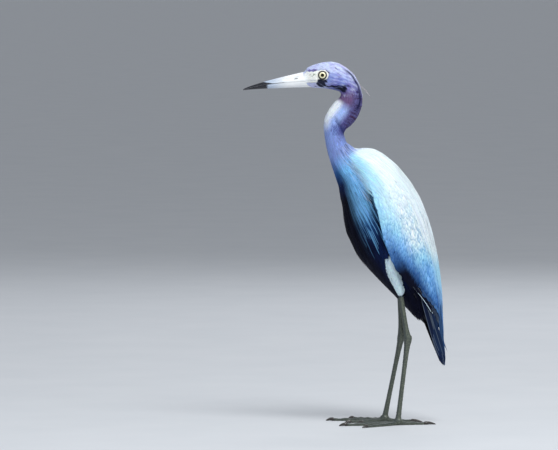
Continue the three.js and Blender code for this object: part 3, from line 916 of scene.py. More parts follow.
def face_folds(points):
    """How far each point of the bare face stands out, in millimetres: fine creases and the gape."""
    y, z = side_view(points)
    bare = bareness(points)
    out = np.zeros(len(points))
    for i in np.nonzero(bare > 0.05)[0]:
        spot = Vector((y[i] * 0.3, z[i] * 0.8, points[i, 0] / MM * 0.3))
        out[i] = 0.2 * (noise.noise(spot * 1.4) - abs(noise.noise(spot * 0.9)))
    from_eye = np.hypot(y - EYE_Y, z - EYE_Z)
    out *= smoothstep(6.2, 7.4, from_eye)
    hollow = bell(y, EYE_Y - 11.5, 4.5) * bell(z, EYE_Z - 0.8, 3.2)
    before_end = fade(-1.5, 0.5, y - GAPE_END[0])
    gape = bell(z, gape_height(y), 0.4) * before_end
    lips = bell(z, gape_height(y), 1.2) * before_end
    return (out - 0.5 * hollow + 0.25 * lips - 0.7 * gape) * bare


skin_build.normal_update()
skin_points = build_points(skin_build)
folds = face_folds(skin_points)
for v, out in zip(skin_build.verts, folds):
    v.co += v.normal * out * MM
print("folds of the face from", round(folds.min(), 2), "to", round(folds.max(), 2), "mm")


# %% Skin finish
BARE_SKIN = tint(250, 250, 244)
BARE_FOLD = tint(134, 152, 124)
LID_RIM = tint(26, 16, 22)
EYE_RING = tint(253, 253, 242)
HORN_PALE = tint(250, 251, 251)

skin_finish = Finish("skin", Roughness=0.6, Subsurface_Weight=0.06)
skin_finish.shader.inputs["Subsurface Radius"].default_value = (0.0012, 0.0006, 0.0004)
skin_grain = skin_finish.noise(1600, 3)
skin_tone = skin_finish.attribute("plumage", "Color")
skin_finish.colour(skin_finish.mix(skin_finish.spread(skin_grain, 0.3, 0.7, 0, 0.2), skin_tone,
                                   paint(90, 92, 100), "MULTIPLY"))
skin_finish.bump(skin_grain, 0.3, 0.0002)

skin_mesh = mesh_from(skin_build, "skin")
new_piece("skin", skin_mesh, skin_finish.material, "body", *flesh_names)

skin_at = mesh_points(skin_mesh)
skin_part = part_of(skin_at)
skin_depth = np.empty(len(skin_at))
skin_mesh.attributes["coat_depth"].data.foreach_get("value", skin_depth)


def skin_colours(points, parts):
    colour = np.zeros((len(points), 3))
    for k, part in enumerate(PARTS):
        mine = parts == k
        colour[mine] = plumage(points[mine], part)
    y, z = side_view(points)
    from_eye = np.hypot(y - EYE_Y, z - EYE_Z)
    fold = np.array([noise.noise(Vector((a * 0.45, b * 0.9, 0))) for a, b in zip(y, z)])
    wrinkled = bell(y, EYE_Y - 10.5, 3.0) * bell(z, EYE_Z + 0.3, 2.2)
    bare = mixed(BARE_SKIN, HORN_PALE, fade(EYE_Y - 20, EYE_Y - 12, y))
    bare = mixed(bare, BARE_FOLD, np.clip(smoothstep(-0.02, 0.22, fold) * wrinkled * 1.2, 0, 0.9))
    # Painted shadow: the bare skin under the eye is dark.
    under_eye = np.exp(-(((y - EYE_Y + 0.5) / 5.0) ** 4) - ((z - EYE_Z + 6.4) / 1.7) ** 2)
    bare = mixed(bare, EYE_RING, fade(6.4, 7.2, from_eye))
    bare = mixed(bare, tint(34, 62, 66), 0.92 * under_eye)
    ragged_reach = from_eye + 0.12 * np.sin(5 * np.arctan2(z - EYE_Z, y - EYE_Y))
    bare = mixed(bare, LID_RIM, fade(4.9, 5.15, ragged_reach))
    before_end = fade(-1.5, 0.5, y - GAPE_END[0])
    for rise, strength in ((0.0, 0.75), (1.7, 0.35)):
        line = bell(z, gape_height(y) + rise, 0.28) * before_end
        bare = mixed(bare, tint(112, 134, 176), strength * line)
    return mixed(colour, bare, bareness(points))


store(skin_mesh, "plumage", "FLOAT_COLOR", skin_colours(skin_at, skin_part))
print("skin:", len(skin_mesh.polygons), "faces")


# %% [markdown]
# ## Eyes
# A heron's iris is pale yellow, with a round black pupil under a clear, wet surface. The eyeball
# is a flat grid wrapped round the eye's axis, with the cornea bulging a little in front. The
# colours follow the distance from that axis, so they stay round however coarse the mesh is.

# %% A grid wrapped into a closed tube
def wrapped(build, along, around, place):
    """A flat grid bent round until its long sides meet. place(u, v) gives each point's place, with
    u from 0 to 1 along the tube and v from 0 to 1 round it. Ends that shrink to a point close."""
    made = bmesh.ops.create_grid(build, x_segments=along, y_segments=around, size=0.5)["verts"]
    for v in made:
        v.co = place(v.co.x + 0.5, v.co.y + 0.5)
    bmesh.ops.remove_doubles(build, verts=made, dist=2e-6)
    faces = [f for f in build.faces if f.is_valid]
    bmesh.ops.recalc_face_normals(build, faces=faces)


# %% Eyeballs
PUPIL_RADIUS = 1.85
IRIS_RADIUS = 3.62
CORNEA_RISE = 0.035

eye_finish = Finish("eye", Roughness=0.3, Coat_Weight=0.5, Coat_Roughness=0.03)
eye_finish.shader.inputs["Specular IOR Level"].default_value = 0.1
axis_distance, axis_angle, _ = eye_finish.axes("iris")
streak_vector = eye_finish.node("ShaderNodeCombineXYZ", {0: axis_angle, 1: axis_distance}).outputs[0]
streaks = eye_finish.noise(2.6, 3, streak_vector)
iris_tone = eye_finish.mix(streaks, paint(234, 228, 170), paint(254, 252, 232))
inner = eye_finish.spread(axis_distance, PUPIL_RADIUS + 0.1, PUPIL_RADIUS + 0.6)
iris_tone = eye_finish.mix(inner, paint(196, 180, 110), iris_tone)
outer = eye_finish.spread(axis_distance, IRIS_RADIUS - 0.25, IRIS_RADIUS + 0.1)
iris_tone = eye_finish.mix(outer, iris_tone, paint(40, 18, 20))
pupil = eye_finish.spread(axis_distance, PUPIL_RADIUS - 0.08, PUPIL_RADIUS + 0.08)
eye_finish.colour(eye_finish.mix(pupil, paint(4, 4, 6), iris_tone))


def make_eye(side):
    centre, sign = eye_centre[side], SIDES[side]

    def place(u, v):
        polar, turn = math.pi * u, 2 * math.pi * v
        cornea = 1 + CORNEA_RISE * max(0.0, math.cos(polar)) ** 6
        reach = eye_radius * cornea
        return centre + reach * Vector((sign * math.cos(polar), math.sin(polar) * math.cos(turn),
                                        math.sin(polar) * math.sin(turn)))

    build = bmesh.new()
    wrapped(build, 48, 64, place)
    mesh = mesh_from(build, f"eye_ball_{side}")
    offset = (mesh_points(mesh) - np.array(centre)) / MM
    front = offset[:, 0] * sign > 0
    distance = np.where(front, np.hypot(offset[:, 1], offset[:, 2]), 9.0)
    angle = np.arctan2(offset[:, 2], offset[:, 1]) * 5
    store(mesh, "iris", "FLOAT_VECTOR", np.column_stack([distance, angle, 0 * angle]))
    new_piece(f"eye_ball_{side}", mesh, eye_finish.material, "eye", f"eye_{side}")


for side in SIDES:
    make_eye(side)
print("eyes:", round(2 * eye_radius / MM, 1), "mm across")


# %% [markdown]
# ## Bill
# The bill is a dagger of horn in two halves. The upper half is roof-shaped with a groove along
# each side, in which the slit of the nostril lies; its cutting edge closes over the lower half.
# Both are wrapped grids: a formula gives the depth and width at each distance from the tip, and
# the line of the mouth parts the section into an upper and a lower loop.

# %% Relief of the bill
NOSTRIL_AT = 0.774
NOSTRIL_ANGLE = math.radians(63)


def bill_point(u, angle, mouth_gap=0.0):
    middle, half_depth, half_width = bill_section(u)
    roof = 1 - ROOF * max(0.0, math.cos(angle))
    away_from_top = abs(math.remainder(angle, 2 * math.pi))
    groove = 0.5 * bell(away_from_top, NOSTRIL_ANGLE, 0.2) * float(smoothstep(0.3, 0.5, u))
    slit = 1.3 * bell(away_from_top, NOSTRIL_ANGLE, 0.065) * bell(u, NOSTRIL_AT, 0.042)
    keel = 0.5 * bell(away_from_top, math.pi, 0.22) * float(smoothstep(0.5, 0.75, u))
    sunk = min(groove + slit + keel, 0.6 * half_depth)
    x = (half_width - sunk) * math.sin(angle) * roof
    z = middle + (half_depth - 0.6 * sunk) * math.cos(angle) + mouth_gap
    return Vector((x * MM, bill_tip.y + BILL_REACH * u * MM, bill_tip.z + z * MM))


def mouth_angle(u):
    middle, half_depth, _ = bill_section(u)
    return math.acos(max(-1, min(1, (mouth_height(u) - middle) / max(half_depth, 1e-6))))


def half_bill(upper):
    """The place of the point (s, v) of one half of the bill."""
    outer_share = 0.78
    gap = 0.1 if upper else -0.1

    def place(s, v):
        u = max(s, 0) ** 1.25
        if s > 0.9999:
            u = 1.0
        edge = mouth_angle(u)
        first, last = (-edge, edge) if upper else (edge, 2 * math.pi - edge)
        if v <= outer_share:
            point = bill_point(u, first + (last - first) * v / outer_share, gap)
        else:
            t = (v - outer_share) / (1 - outer_share)
            start, end = bill_point(u, last, gap), bill_point(u, first, gap)
            point = start.lerp(end, t)
            point.z += (0.5 if upper else -0.5) * gap * math.sin(math.pi * t) * MM
        if s < 1e-6:
            point = Vector((0, bill_tip.y, bill_tip.z))
        if s > 0.9999:
            middle = bill_section(1)[0] + (3 if upper else -4)
            point = Vector((0, bill_tip.y + BILL_REACH * MM, bill_tip.z + middle * MM))
        return point

    return place


# %% Bill finish
bill_finish = Finish("bill_horn", Roughness=0.34, Coat_Weight=0.35, Coat_Roughness=0.18)
bill_dark, bill_shade, _ = bill_finish.axes("horn")
fibre = bill_finish.node("ShaderNodeMapping", {"Vector": bill_finish.place(), "Scale": (900, 90, 900)})
fibre_noise = bill_finish.noise(1.0, 4, fibre.outputs[0])
pale_horn = bill_finish.mix(bill_shade, paint(250, 251, 250), paint(158, 178, 206))
fibre_shade = bill_finish.spread(fibre_noise, 0.3, 0.75, 0, 0.22)
pale_horn = bill_finish.mix(fibre_shade, pale_horn, paint(120, 138, 168))
ragged = bill_finish.math("ADD", bill_dark, bill_finish.spread(fibre_noise, 0.3, 0.7, -0.18, 0.18))
bill_finish.colour(bill_finish.mix(bill_finish.spread(ragged, 0.3, 0.7), pale_horn, paint(16, 18, 30)))
bill_finish.bump(fibre_noise, 0.25, 0.0002)


# %% Bill halves
def make_bill(name, upper):
    build = bmesh.new()
    wrapped(build, 150, 88, half_bill(upper))
    mesh = mesh_from(build, name)
    points = mesh_points(mesh)
    u = (points[:, 1] - bill_tip.y) / MM / BILL_REACH
    above_mouth = (points[:, 2] - bill_tip.z) / MM - np.array([mouth_height(max(s, 0)) for s in u])
    black_end = 0.36 + (0.1 - 0.05 * np.abs(above_mouth) if upper else 0.0)
    dark = fade(black_end - 0.06, black_end + 0.06, u)
    dark = np.maximum(dark, bell(above_mouth, 0, 0.35) * fade(0.5, 0.7, u))
    above_middle = (points[:, 2] - bill_tip.z) / MM - BILL_RISE * np.maximum(u, 0) ** BILL_BEND
    angle = np.arctan2(np.abs(points[:, 0]) / MM, above_middle)
    slit = bell(angle, NOSTRIL_ANGLE, 0.16) * bell(u, NOSTRIL_AT, 0.045)
    dark = np.maximum(dark, 0.85 * slit) if upper else dark
    shade = fade(0.35, 0.7, u) * 0.8
    store(mesh, "horn", "FLOAT_VECTOR", np.column_stack([dark, shade, 0 * u]))
    new_piece(name, mesh, bill_finish.material, "bill", "bill_upper" if upper else "bill_lower")


make_bill("upper_mandible", True)
make_bill("lower_mandible", False)
print("bill:", round(BILL_REACH), "mm to its root")


# %% [markdown]
# ## Legs, toes and claws
# A heron's leg is bare and scaly: a row of broad scutes down the front of the tarsus and along
# the top of each toe, small beads elsewhere, and pads under the joints of the toes. The solids
# already have the right sizes, so copies of them are wrapped in one surface for each leg and the
# scales are raised on it as real relief.

# %% Leg finish
TOE_NAMES = ["inner", "middle", "outer", "hind"]
SCUTE_TARSUS = 2.7
SCUTE_TOE = 1.9
ANKLE_DROP = 4.6
SCALE_RISE = 0.34
LEG_VOXEL = 0.5 * MM

leg_finish = Finish("leg_scales", Roughness=0.5, Coat_Weight=0.1)
relief, _, _ = leg_finish.axes("scale")
leg_mottle = leg_finish.noise(260, 4)
scale_tone = leg_finish.mix(leg_mottle, paint(30, 36, 38), paint(66, 76, 70))
leg_finish.colour(leg_finish.mix(relief, paint(92, 98, 84), scale_tone))
leg_finish.bump(leg_finish.noise(2400, 2), 0.25, 0.0001)


# %% Relief of the scales
def closest_on(points, start, end):
    """For each point: the distance along a straight line and the distance from it."""
    step = end - start
    reach = np.linalg.norm(step)
    along = np.clip((points - start) @ step / reach, 0, reach)
    return along, np.linalg.norm(points - start - along[:, None] * step / reach, axis=1)


def scute_height(along, period):
    """Overlapping plates: high where a plate begins, 0 in the groove between two."""
    phase = (along / MM / period) % 1.0
    return smoothstep(0.0, 0.16, phase) * (1 - 0.45 * phase)


def scale_relief(points, normals, side):
    """Height of the scales, 0 to 1: plates down the front of the leg and on the toes, else beads."""
    _, tarsus_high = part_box(f"tarsus_{side}")
    hind_low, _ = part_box(f"toe_hind_{side}")
    foot = np.array([box_middle(f"tarsus_{side}").x, hind_low.y, 1.8 * MM])
    ankle = np.array([foot[0], tarsus_high.y - ANKLE_DROP * MM, tarsus_high.z - ANKLE_DROP * MM])
    nearest = np.full(len(points), np.inf)
    height = np.zeros(len(points))
    for toe in TOE_NAMES:
        end = np.array(box_middle(f"claw_{toe}_{side}"))
        along, distance = closest_on(points, foot, end)
        closer = distance < nearest
        height = np.where(closer, scute_height(along, SCUTE_TOE), height)
        nearest = np.minimum(nearest, distance)
    along, distance = closest_on(points, foot, ankle)
    shaft = (points[:, 2] > 9 * MM) | (distance < nearest)
    height = np.where(shaft, scute_height(along, SCUTE_TARSUS), height)
    plated = np.where(shaft, smoothstep(0.1, 0.6, -normals[:, 1]), smoothstep(0.0, 0.5, normals[:, 2]))
    beads = np.array([noise.voronoi(Vector(p) / MM / 1.5)[0][0] for p in points])
    return height * plated + (0.75 - np.clip(beads, 0, 1)) * (1 - plated)


# %% Legs
def make_leg(side):
    names = [f"shank_{side}", f"tarsus_{side}"] + [f"toe_{toe}_{side}" for toe in TOE_NAMES]
    build = remeshed(merged_copy(names, 0.2 * MM), LEG_VOXEL, f"leg_wrap_{side}")
    smoothed(build, 8)
    build.normal_update()
    points = build_points(build)
    height = scale_relief(points, np.array([v.normal for v in build.verts]), side)
    off_floor = smoothstep(0.3, 1.2, points[:, 2] / MM)
    for v, out in zip(build.verts, (height - 0.5) * SCALE_RISE * off_floor):
        v.co += v.normal * out * MM
        v.co.z = max(v.co.z, 0.0)
    mesh = mesh_from(build, f"leg_{side}")
    shade = np.clip(height * 1.6, 0, 1)
    store(mesh, "scale", "FLOAT_VECTOR", np.column_stack([shade, shade, shade]))
    return new_piece(f"leg_{side}", mesh, leg_finish.material, "leg", *names)


legs = [make_leg(side) for side in SIDES]
print("legs:", [len(leg.data.vertices) for leg in legs], "points")


# %% Claws
claw_finish = Finish("claw_horn", Roughness=0.3, Coat_Weight=0.3)
claw_grain = claw_finish.noise(1500, 3)
claw_finish.colour(claw_finish.mix(claw_grain, paint(20, 18, 17), paint(66, 60, 54)))
claw_finish.bump(claw_grain, 0.2, 0.0001)


def make_claw(name):
    build = merged_copy([name], 0.25 * MM)
    bmesh.ops.subdivide_edges(build, edges=build.edges, cuts=2, smooth=1.0, use_grid_fill=True)
    smoothed(build, 2)
    for v in build.verts:
        v.co.z = max(v.co.z, 0.0)
    mesh = mesh_from(build, f"horn_{name}")
    return new_piece(f"horn_{name}", mesh, claw_finish.material, "claw", name)


claws = [make_claw(f"claw_{toe}_{side}") for side in SIDES for toe in TOE_NAMES]
print("claws:", len(claws))


# %% [markdown]
# ## How a feather is made
# A feather here is a thin closed blade: a few rings of points along its length, each a flattened
# section with the shaft highest in the middle, ending in one point. Thousands of them share the
# same pattern of faces, so they are worked out as arrays, all feathers of a region at once, and
# written into one mesh. Particle hair would look alike but can't be handed on as a solid.
#
# Each blade starts in the skin, walks over it a step at a time along the lie of the coat, and
# rises from the skin at its root to the coat's full depth at its tip, as tiles on a roof do.

# %% The skin as arrays
skin_mesh.calc_loop_triangles()
triangles = np.empty(len(skin_mesh.loop_triangles) * 3, int)
skin_mesh.loop_triangles.foreach_get("vertices", triangles)
triangles = triangles.reshape(-1, 3)
corners = skin_at[triangles]
triangle_part = skin_part[triangles[:, 0]]
crossed = np.cross(corners[:, 1] - corners[:, 0], corners[:, 2] - corners[:, 0])
triangle_area = np.linalg.norm(crossed, axis=1) / 2
skin_normals = np.empty(len(skin_at) * 3)
skin_mesh.vertices.foreach_get("normal", skin_normals)
skin_normals = skin_normals.reshape(-1, 3)


def facing_out():
    """Which triangles look away from the body line, as the outside of a wing does, not its rim."""
    middles = corners.mean(1)
    _, _, line = along_body(middles)
    offset = middles - np.column_stack([np.zeros(len(line)), line])
    return (unit(offset) * unit(crossed)).sum(1) > 0.4


def under_cover(mine, reach=5 * MM):
    """Which of some triangles have other skin close above them, as the flank has under a wing."""
    tree = BVHTree.FromPolygons([Vector(p) for p in skin_at], triangles.tolist())
    found = np.zeros(len(triangles), bool)
    outward = unit(crossed)
    for i in np.nonzero(mine)[0]:
        start = corners[i].mean(0) + outward[i] * 0.5 * MM
        found[i] = tree.ray_cast(Vector(start), Vector(outward[i]), reach)[0] is not None
    return found


def parts_are(*names):
    return np.isin(triangle_part, [PARTS.index(name) for name in names])


on_wing = parts_are("wing", "mantle") & facing_out()
on_body = parts_are("head", "neck", "trunk")
open_skin = np.where(parts_are("wing", "mantle"), on_wing, ~under_cover(parts_are("trunk")))
print("triangles:", len(triangles), "of which coated:", int(open_skin.sum()))


# %% The surface that feathers walk on
def corner_shares(points, a, b, c):
    """Each point of a triangle as shares of its three corners."""
    ab, ac, ap = b - a, c - a, points - a
    bb, bc, cc = (ab * ab).sum(1), (ab * ac).sum(1), (ac * ac).sum(1)
    pb, pc = (ap * ab).sum(1), (ap * ac).sum(1)
    scale = np.maximum(bb * cc - bc * bc, 1e-24)
    second, third = (cc * pb - bc * pc) / scale, (bb * pc - bc * pb) / scale
    return np.clip(np.column_stack([1 - second - third, second, third]), 0, 1)


class Ground:
    """A part of the skin: the nearest place, smooth normal and coat depth for many points at once."""

    def __init__(self, chosen):
        self.chosen = np.nonzero(chosen)[0]
        self.tree = BVHTree.FromPolygons([Vector(p) for p in skin_at], triangles[self.chosen].tolist())

    def nearest(self, points):
        hits = [self.tree.find_nearest(Vector(p)) for p in points]
        places = np.array([tuple(hit[0]) for hit in hits])
        return places, *self.surface(places, np.array([hit[2] for hit in hits]))

    def surface(self, places, found):
        triangle = triangles[self.chosen[found]]
        shares = corner_shares(places, *skin_at[triangle].transpose(1, 0, 2))
        normals = unit((skin_normals[triangle] * shares[..., None]).sum(1))
        return normals, (skin_depth[triangle] * shares).sum(1)


body_ground = Ground(on_body)
wing_ground = Ground(on_wing)
whole_ground = Ground(on_body | on_wing)
thigh_ground = Ground(parts_are("thigh"))
print("triangles of the body and the wings:", len(body_ground.chosen), len(wing_ground.chosen))


# %% The lie of the coat
def on_surface(direction, normals):
    return unit(direction - (direction * normals).sum(1, keepdims=True) * normals)


def body_lie(points, normals):
    """Feathers lie from the bill towards the tail, along the middle line of the body."""
    _, direction, _ = along_body(points)
    return on_surface(np.column_stack([np.zeros(len(points)), direction]), normals)


def thigh_lie(points, normals):
    return on_surface(np.tile([0.0, 0.12, -1.0], (len(points), 1)), normals)


chest = np.array([[0.0, *BODY_LINE[12]]])
print("lie over the chest:", body_lie(chest, np.array([[1.0, 0.0, 0.0]]))[0].round(2))


# %% Roots spread over the skin
def evenly(spacing):
    """The same spacing everywhere, in millimetres."""
    return lambda points: np.full(len(points), spacing * MM)


def scatter(part, spacing, keep=None):
    """Roots over one part of the skin, none nearer to another than spacing(points), in metres."""
    mine = np.nonzero(parts_are(part) & open_skin)[0]
    area = triangle_area[mine]
    finest = spacing(corners[mine, 0]).min()
    count = int(2.2 * area.sum() / finest ** 2)
    chosen = mine[rng.choice(len(mine), count, p=area / area.sum())]
    a, b = rng.random((2, count, 1))
    a, b = np.where(a + b > 1, 1 - a, a), np.where(a + b > 1, 1 - b, b)
    first, second, third = corners[chosen].transpose(1, 0, 2)
    points = first + a * (second - first) + b * (third - first)
    if keep is not None:
        points = points[keep(points)]
    room = spacing(points)
    tree = KDTree(len(points))
    for i, p in enumerate(points):
        tree.insert(p, i)
    tree.balance()
    free = np.ones(len(points), bool)
    kept = []
    for i, p in enumerate(points):
        if free[i]:
            kept.append(i)
            free[[j for _, j, _ in tree.find_range(p, room[i])]] = False
    return points[kept]


def in_rows(roots, pitch, share):
    """Roots moved along the body towards even rows, so that the tips of their feathers make ripples."""
    length, direction, _ = along_body(roots)
    shift = (np.round(length / pitch) * pitch - length) * share
    return roots + np.column_stack([0 * shift, direction * shift[:, None]])


def uneven(count, amount, middle=1.0):
    """One random number for each feather, spread about a middle."""
    return middle + amount * rng.standard_normal(count)


# %% [markdown]
# The wings and the back carry their feathers on a smooth cape: a table of how far the skin stands
# from the body line, for lengths along the line and angles round it. Over the wing's edge the cape
# carries on evenly, so that the feathers there overhang the flank instead of curling round it.

# %% Capes
CAPE_RAY = 90 * MM


class Cape:
    """A smooth surface over a ground, and the coat's depth on it, from rays towards the body line."""

    def __init__(self, ground, lengths, angles, bridge):
        self.lengths, self.angles = lengths, angles
        length, angle = np.meshgrid(lengths, angles, indexing="ij")
        middle, outward = self.frame(length, angle)
        self.reach, self.depth = np.full(length.shape, np.nan), np.full(length.shape, np.nan)
        for at in np.ndindex(length.shape):
            start = Vector(middle[at] + CAPE_RAY * outward[at])
            hit = ground.tree.ray_cast(start, Vector(-outward[at]), CAPE_RAY)
            if hit[0] is not None:
                self.reach[at] = CAPE_RAY - hit[3]
                self.depth[at] = skin_depth[triangles[ground.chosen[hit[2]]]].mean()
        for table in (self.reach, self.depth):
            self.fill(table)
        for _ in range(bridge):
            self.reach = np.maximum(self.reach, self.blurred(self.reach))
        for _ in range(2):
            self.reach, self.depth = self.blurred(self.reach), self.blurred(self.depth)

    @staticmethod
    def frame(length, angle):
        """The body line's point, and the direction outwards from it at each angle."""
        middle, later = [np.stack([np.interp(at, line_length, BODY_LINE[:, k]) for k in (0, 1)], -1)
                         for at in (length - 6 * MM, length + 6 * MM)]
        ahead = unit(later - middle)
        rise = np.cos(angle)
        outward = np.stack([np.sin(angle), -ahead[..., 1] * rise, ahead[..., 0] * rise], -1)
        return np.concatenate([np.zeros((*length.shape, 1)), (middle + later) / 2], -1), outward

    def fill(self, table):
        """Carries values on from the back's midline outwards, and from each row to the next."""
        middle = len(self.angles) // 2
        for i, row in enumerate(table):
            if np.isnan(row[middle]):
                row[middle] = table[i - 1, middle] if i else 0.01
            for j in range(middle + 1, len(row)):
                row[j] = row[j - 1] if np.isnan(row[j]) else row[j]
                k = 2 * middle - j
                row[k] = row[k + 1] if np.isnan(row[k]) else row[k]

    def blurred(self, table):
        wide = np.pad(table, 1, mode="edge")
        return (wide[:-2, 1:-1] + wide[2:, 1:-1] + wide[1:-1, :-2] + wide[1:-1, 2:]) / 4

    def look_up(self, table, length, angle):
        row = np.interp(length, self.lengths, np.arange(len(self.lengths)))
        column = np.interp(angle, self.angles, np.arange(len(self.angles)))
        i = np.minimum(row.astype(int), len(table) - 2)
        j = np.minimum(column.astype(int), len(table[0]) - 2)
        a, b = row - i, column - j
        return ((1 - a) * ((1 - b) * table[i, j] + b * table[i, j + 1])
                + a * ((1 - b) * table[i + 1, j] + b * table[i + 1, j + 1]))

    def place(self, length, angle):
        middle, outward = self.frame(length, angle)
        return middle + outward * self.look_up(self.reach, length, angle)[..., None]

    def at(self, length, angle):
        """Places, normals and coat depths."""
        along = self.place(length + 2 * MM, angle) - self.place(length - 2 * MM, angle)
        around = self.place(length, angle + 0.05) - self.place(length, angle - 0.05)
        normals = unit(np.cross(around, along))
        return self.place(length, angle), normals, self.look_up(self.depth, length, angle)

    def paths(self, roots, reach, steps, turn=None, yaw=0.0):
        """Paths from roots down the body, turned outwards by turn(u, v)."""
        length, angle = body_angle(roots)
        rows = [(length, angle)]
        for _ in range(steps):
            outward = yaw + (turn(*wing_shares(length, angle)) if turn else 0)
            around = reach / steps * np.sin(outward) / self.look_up(self.reach, length, angle)
            length = length + reach / steps * np.cos(outward)
            angle = angle + np.sign(angle) * around
            rows.append((length, angle))
        length, angle = [np.stack(values, 1) for values in zip(*rows)]
        return length, angle, *self.at(length, angle)


wing_cape = Cape(wing_ground, np.linspace(138, 398, 105) * MM, np.linspace(-2.2, 2.2, 111), 0)
shoulder_cape = Cape(whole_ground, np.linspace(124, 236, 46) * MM, np.linspace(-2.4, 2.4, 81), 24)
print("capes:", wing_cape.reach.shape, shoulder_cape.reach.shape)


# %% Walking from the roots
def walk(ground, roots, lengths, steps, lie, stiff=0.3, yaw=0.0):
    """The paths of feathers over the skin: places, normals and coat depths, one row for each."""
    lengths = np.broadcast_to(lengths, len(roots))
    place, normal, deep = ground.nearest(roots)
    heading = lie(place, normal)
    across = np.cross(normal, heading)
    swerve = np.broadcast_to(yaw, len(roots))[:, None]
    heading = unit(heading * np.cos(swerve) + across * np.sin(swerve))
    path, normals, depths = [place], [normal], [deep]
    for _ in range(steps):
        ahead = path[-1] + heading * (lengths / steps)[:, None]
        on, fresh, deep = ground.nearest(ahead)
        above = ((ahead - on) * fresh).sum(1, keepdims=True)
        past_edge = np.linalg.norm(ahead - on - above * fresh, axis=1) > 0.4 * MM
        fresh = np.where(past_edge[:, None], normals[-1], fresh)
        place = np.where(past_edge[:, None], ahead, on + fresh * np.maximum(above, 0) * stiff)
        wanted = np.where(past_edge[:, None], heading, lie(on, fresh))
        heading = on_surface(0.6 * unit(place - path[-1]) + 0.4 * wanted, fresh)
        path.append(place)
        normals.append(unit(0.5 * normals[-1] + 0.5 * fresh))
        depths.append(deep)
    return np.stack(path, 1), np.stack(normals, 1), np.stack(depths, 1)


def tiled(depths, low=0.66, high=0.92, amount=0.01):
    """Heights over the skin. Each feather leaves it steeply, then rises gently over the next ones."""
    rise = np.linspace(low, high, depths.shape[1])
    rise[0] = 0.1
    return depths * rise * uneven((len(depths), 1), amount)


# %% [markdown]
# A kind of feather is its section, its outline and how far it arches across. The shading normals
# are given with the points: they follow the coat rather than each blade's thin edge, so that the
# feathers melt into a silky surface instead of standing apart like grains.

# %% Kinds of feather
# Sections across a blade: points (across, up), from the left edge over the shaft and back beneath.
SLIM = np.array([(-1, 0), (0, 1), (1, 0)])
VANE = np.array([(-1, 0), (-0.5, 0.6), (0, 1), (0.5, 0.6), (1, 0), (0, -0.2)])
BROAD = np.array([(-1, 0), (-0.55, 0.35), (-0.08, 0.5), (0, 1.0), (0.08, 0.5), (0.55, 0.35), (1, 0),
                  (0, -0.3)])


def pointed(t):
    return np.minimum(1, 0.5 + 2.4 * t) * (1 - t) ** 0.55


def round_end(t, start, reach, power):
    """1 up to the start, then down to 0 as the end of an oval."""
    return np.sqrt(np.clip(1 - np.clip((t - start) / reach, 0, 1) ** power, 0, 1))


def rounded(t):
    return np.minimum(1, 0.4 + 1.8 * t) * round_end(t, 0.5, 0.51, 2.4)


def lance(t):
    return np.minimum(1, 0.5 + 3 * t) * (1 - t) ** 0.45


def quill(t):
    return np.minimum(1, 0.45 + 2.2 * t) * round_end(t, 0.8, 0.205, 2.2)


# Name: section, outline, arch across, how far the shading turns to the sides.
KINDS = {
    "tuft": (SLIM, pointed, 0.06, 0.2),
    "scale": (VANE, rounded, 0.16, 0.25),
    "covert": (VANE, rounded, 0.1, 0.12),
    "plume": (SLIM, lance, 0.15, 0.3),
    "quill": (BROAD, quill, 0.1, 0.15),
}
print("kinds of feather:", ", ".join(KINDS))


# %% Places, colours and faces of many blades
# The part of the feathers' laid-out map that each feather takes, as a share of its width.
PATCH = 0.003


def spread_out(chart):
    """The roots' places on the skin laid flat, stretched to fill the unit square."""
    low, high = chart.min(0), chart.max(0)
    return 0.02 + 0.96 * (chart - low) / np.maximum(high - low, 1e-9)


def body_chart(roots):
    """A root's place on the skin laid flat: its length along the body and its angle round it."""
    return np.column_stack(body_angle(roots))


def on_rings(colours, body, size):
    """Colours for the points of all blades, from one colour for each feather or for each ring."""
    if colours.ndim == 2:
        return np.repeat(colours, body * size + 1, 0)
    ring = np.concatenate([np.repeat(np.arange(body), size), [body]])
    return colours[:, ring].reshape(-1, 3)


def along_path(path, part):
    """The coat's colour at every ring of every feather."""
    return plumage(path.reshape(-1, 3), part).reshape(path.shape)


def face_pattern(rings, size):
    """The faces of one blade, as the points of their corners and the number of corners of each."""
    body = rings - 1
    ring, step = np.indices((body - 1, size)).reshape(2, -1)
    after = (step + 1) % size
    quads = np.stack([ring * size + step, ring * size + after,
                      (ring + 1) * size + after, (ring + 1) * size + step], 1)
    around = np.arange(size)
    last = (body - 1) * size
    tips = np.stack([last + around, last + (around + 1) % size, np.full(size, body * size)], 1)
    points = np.concatenate([quads.ravel(), tips.ravel(), around[::-1]])
    return points, np.concatenate([np.full(len(quads), 4), np.full(size, 3), [size]])


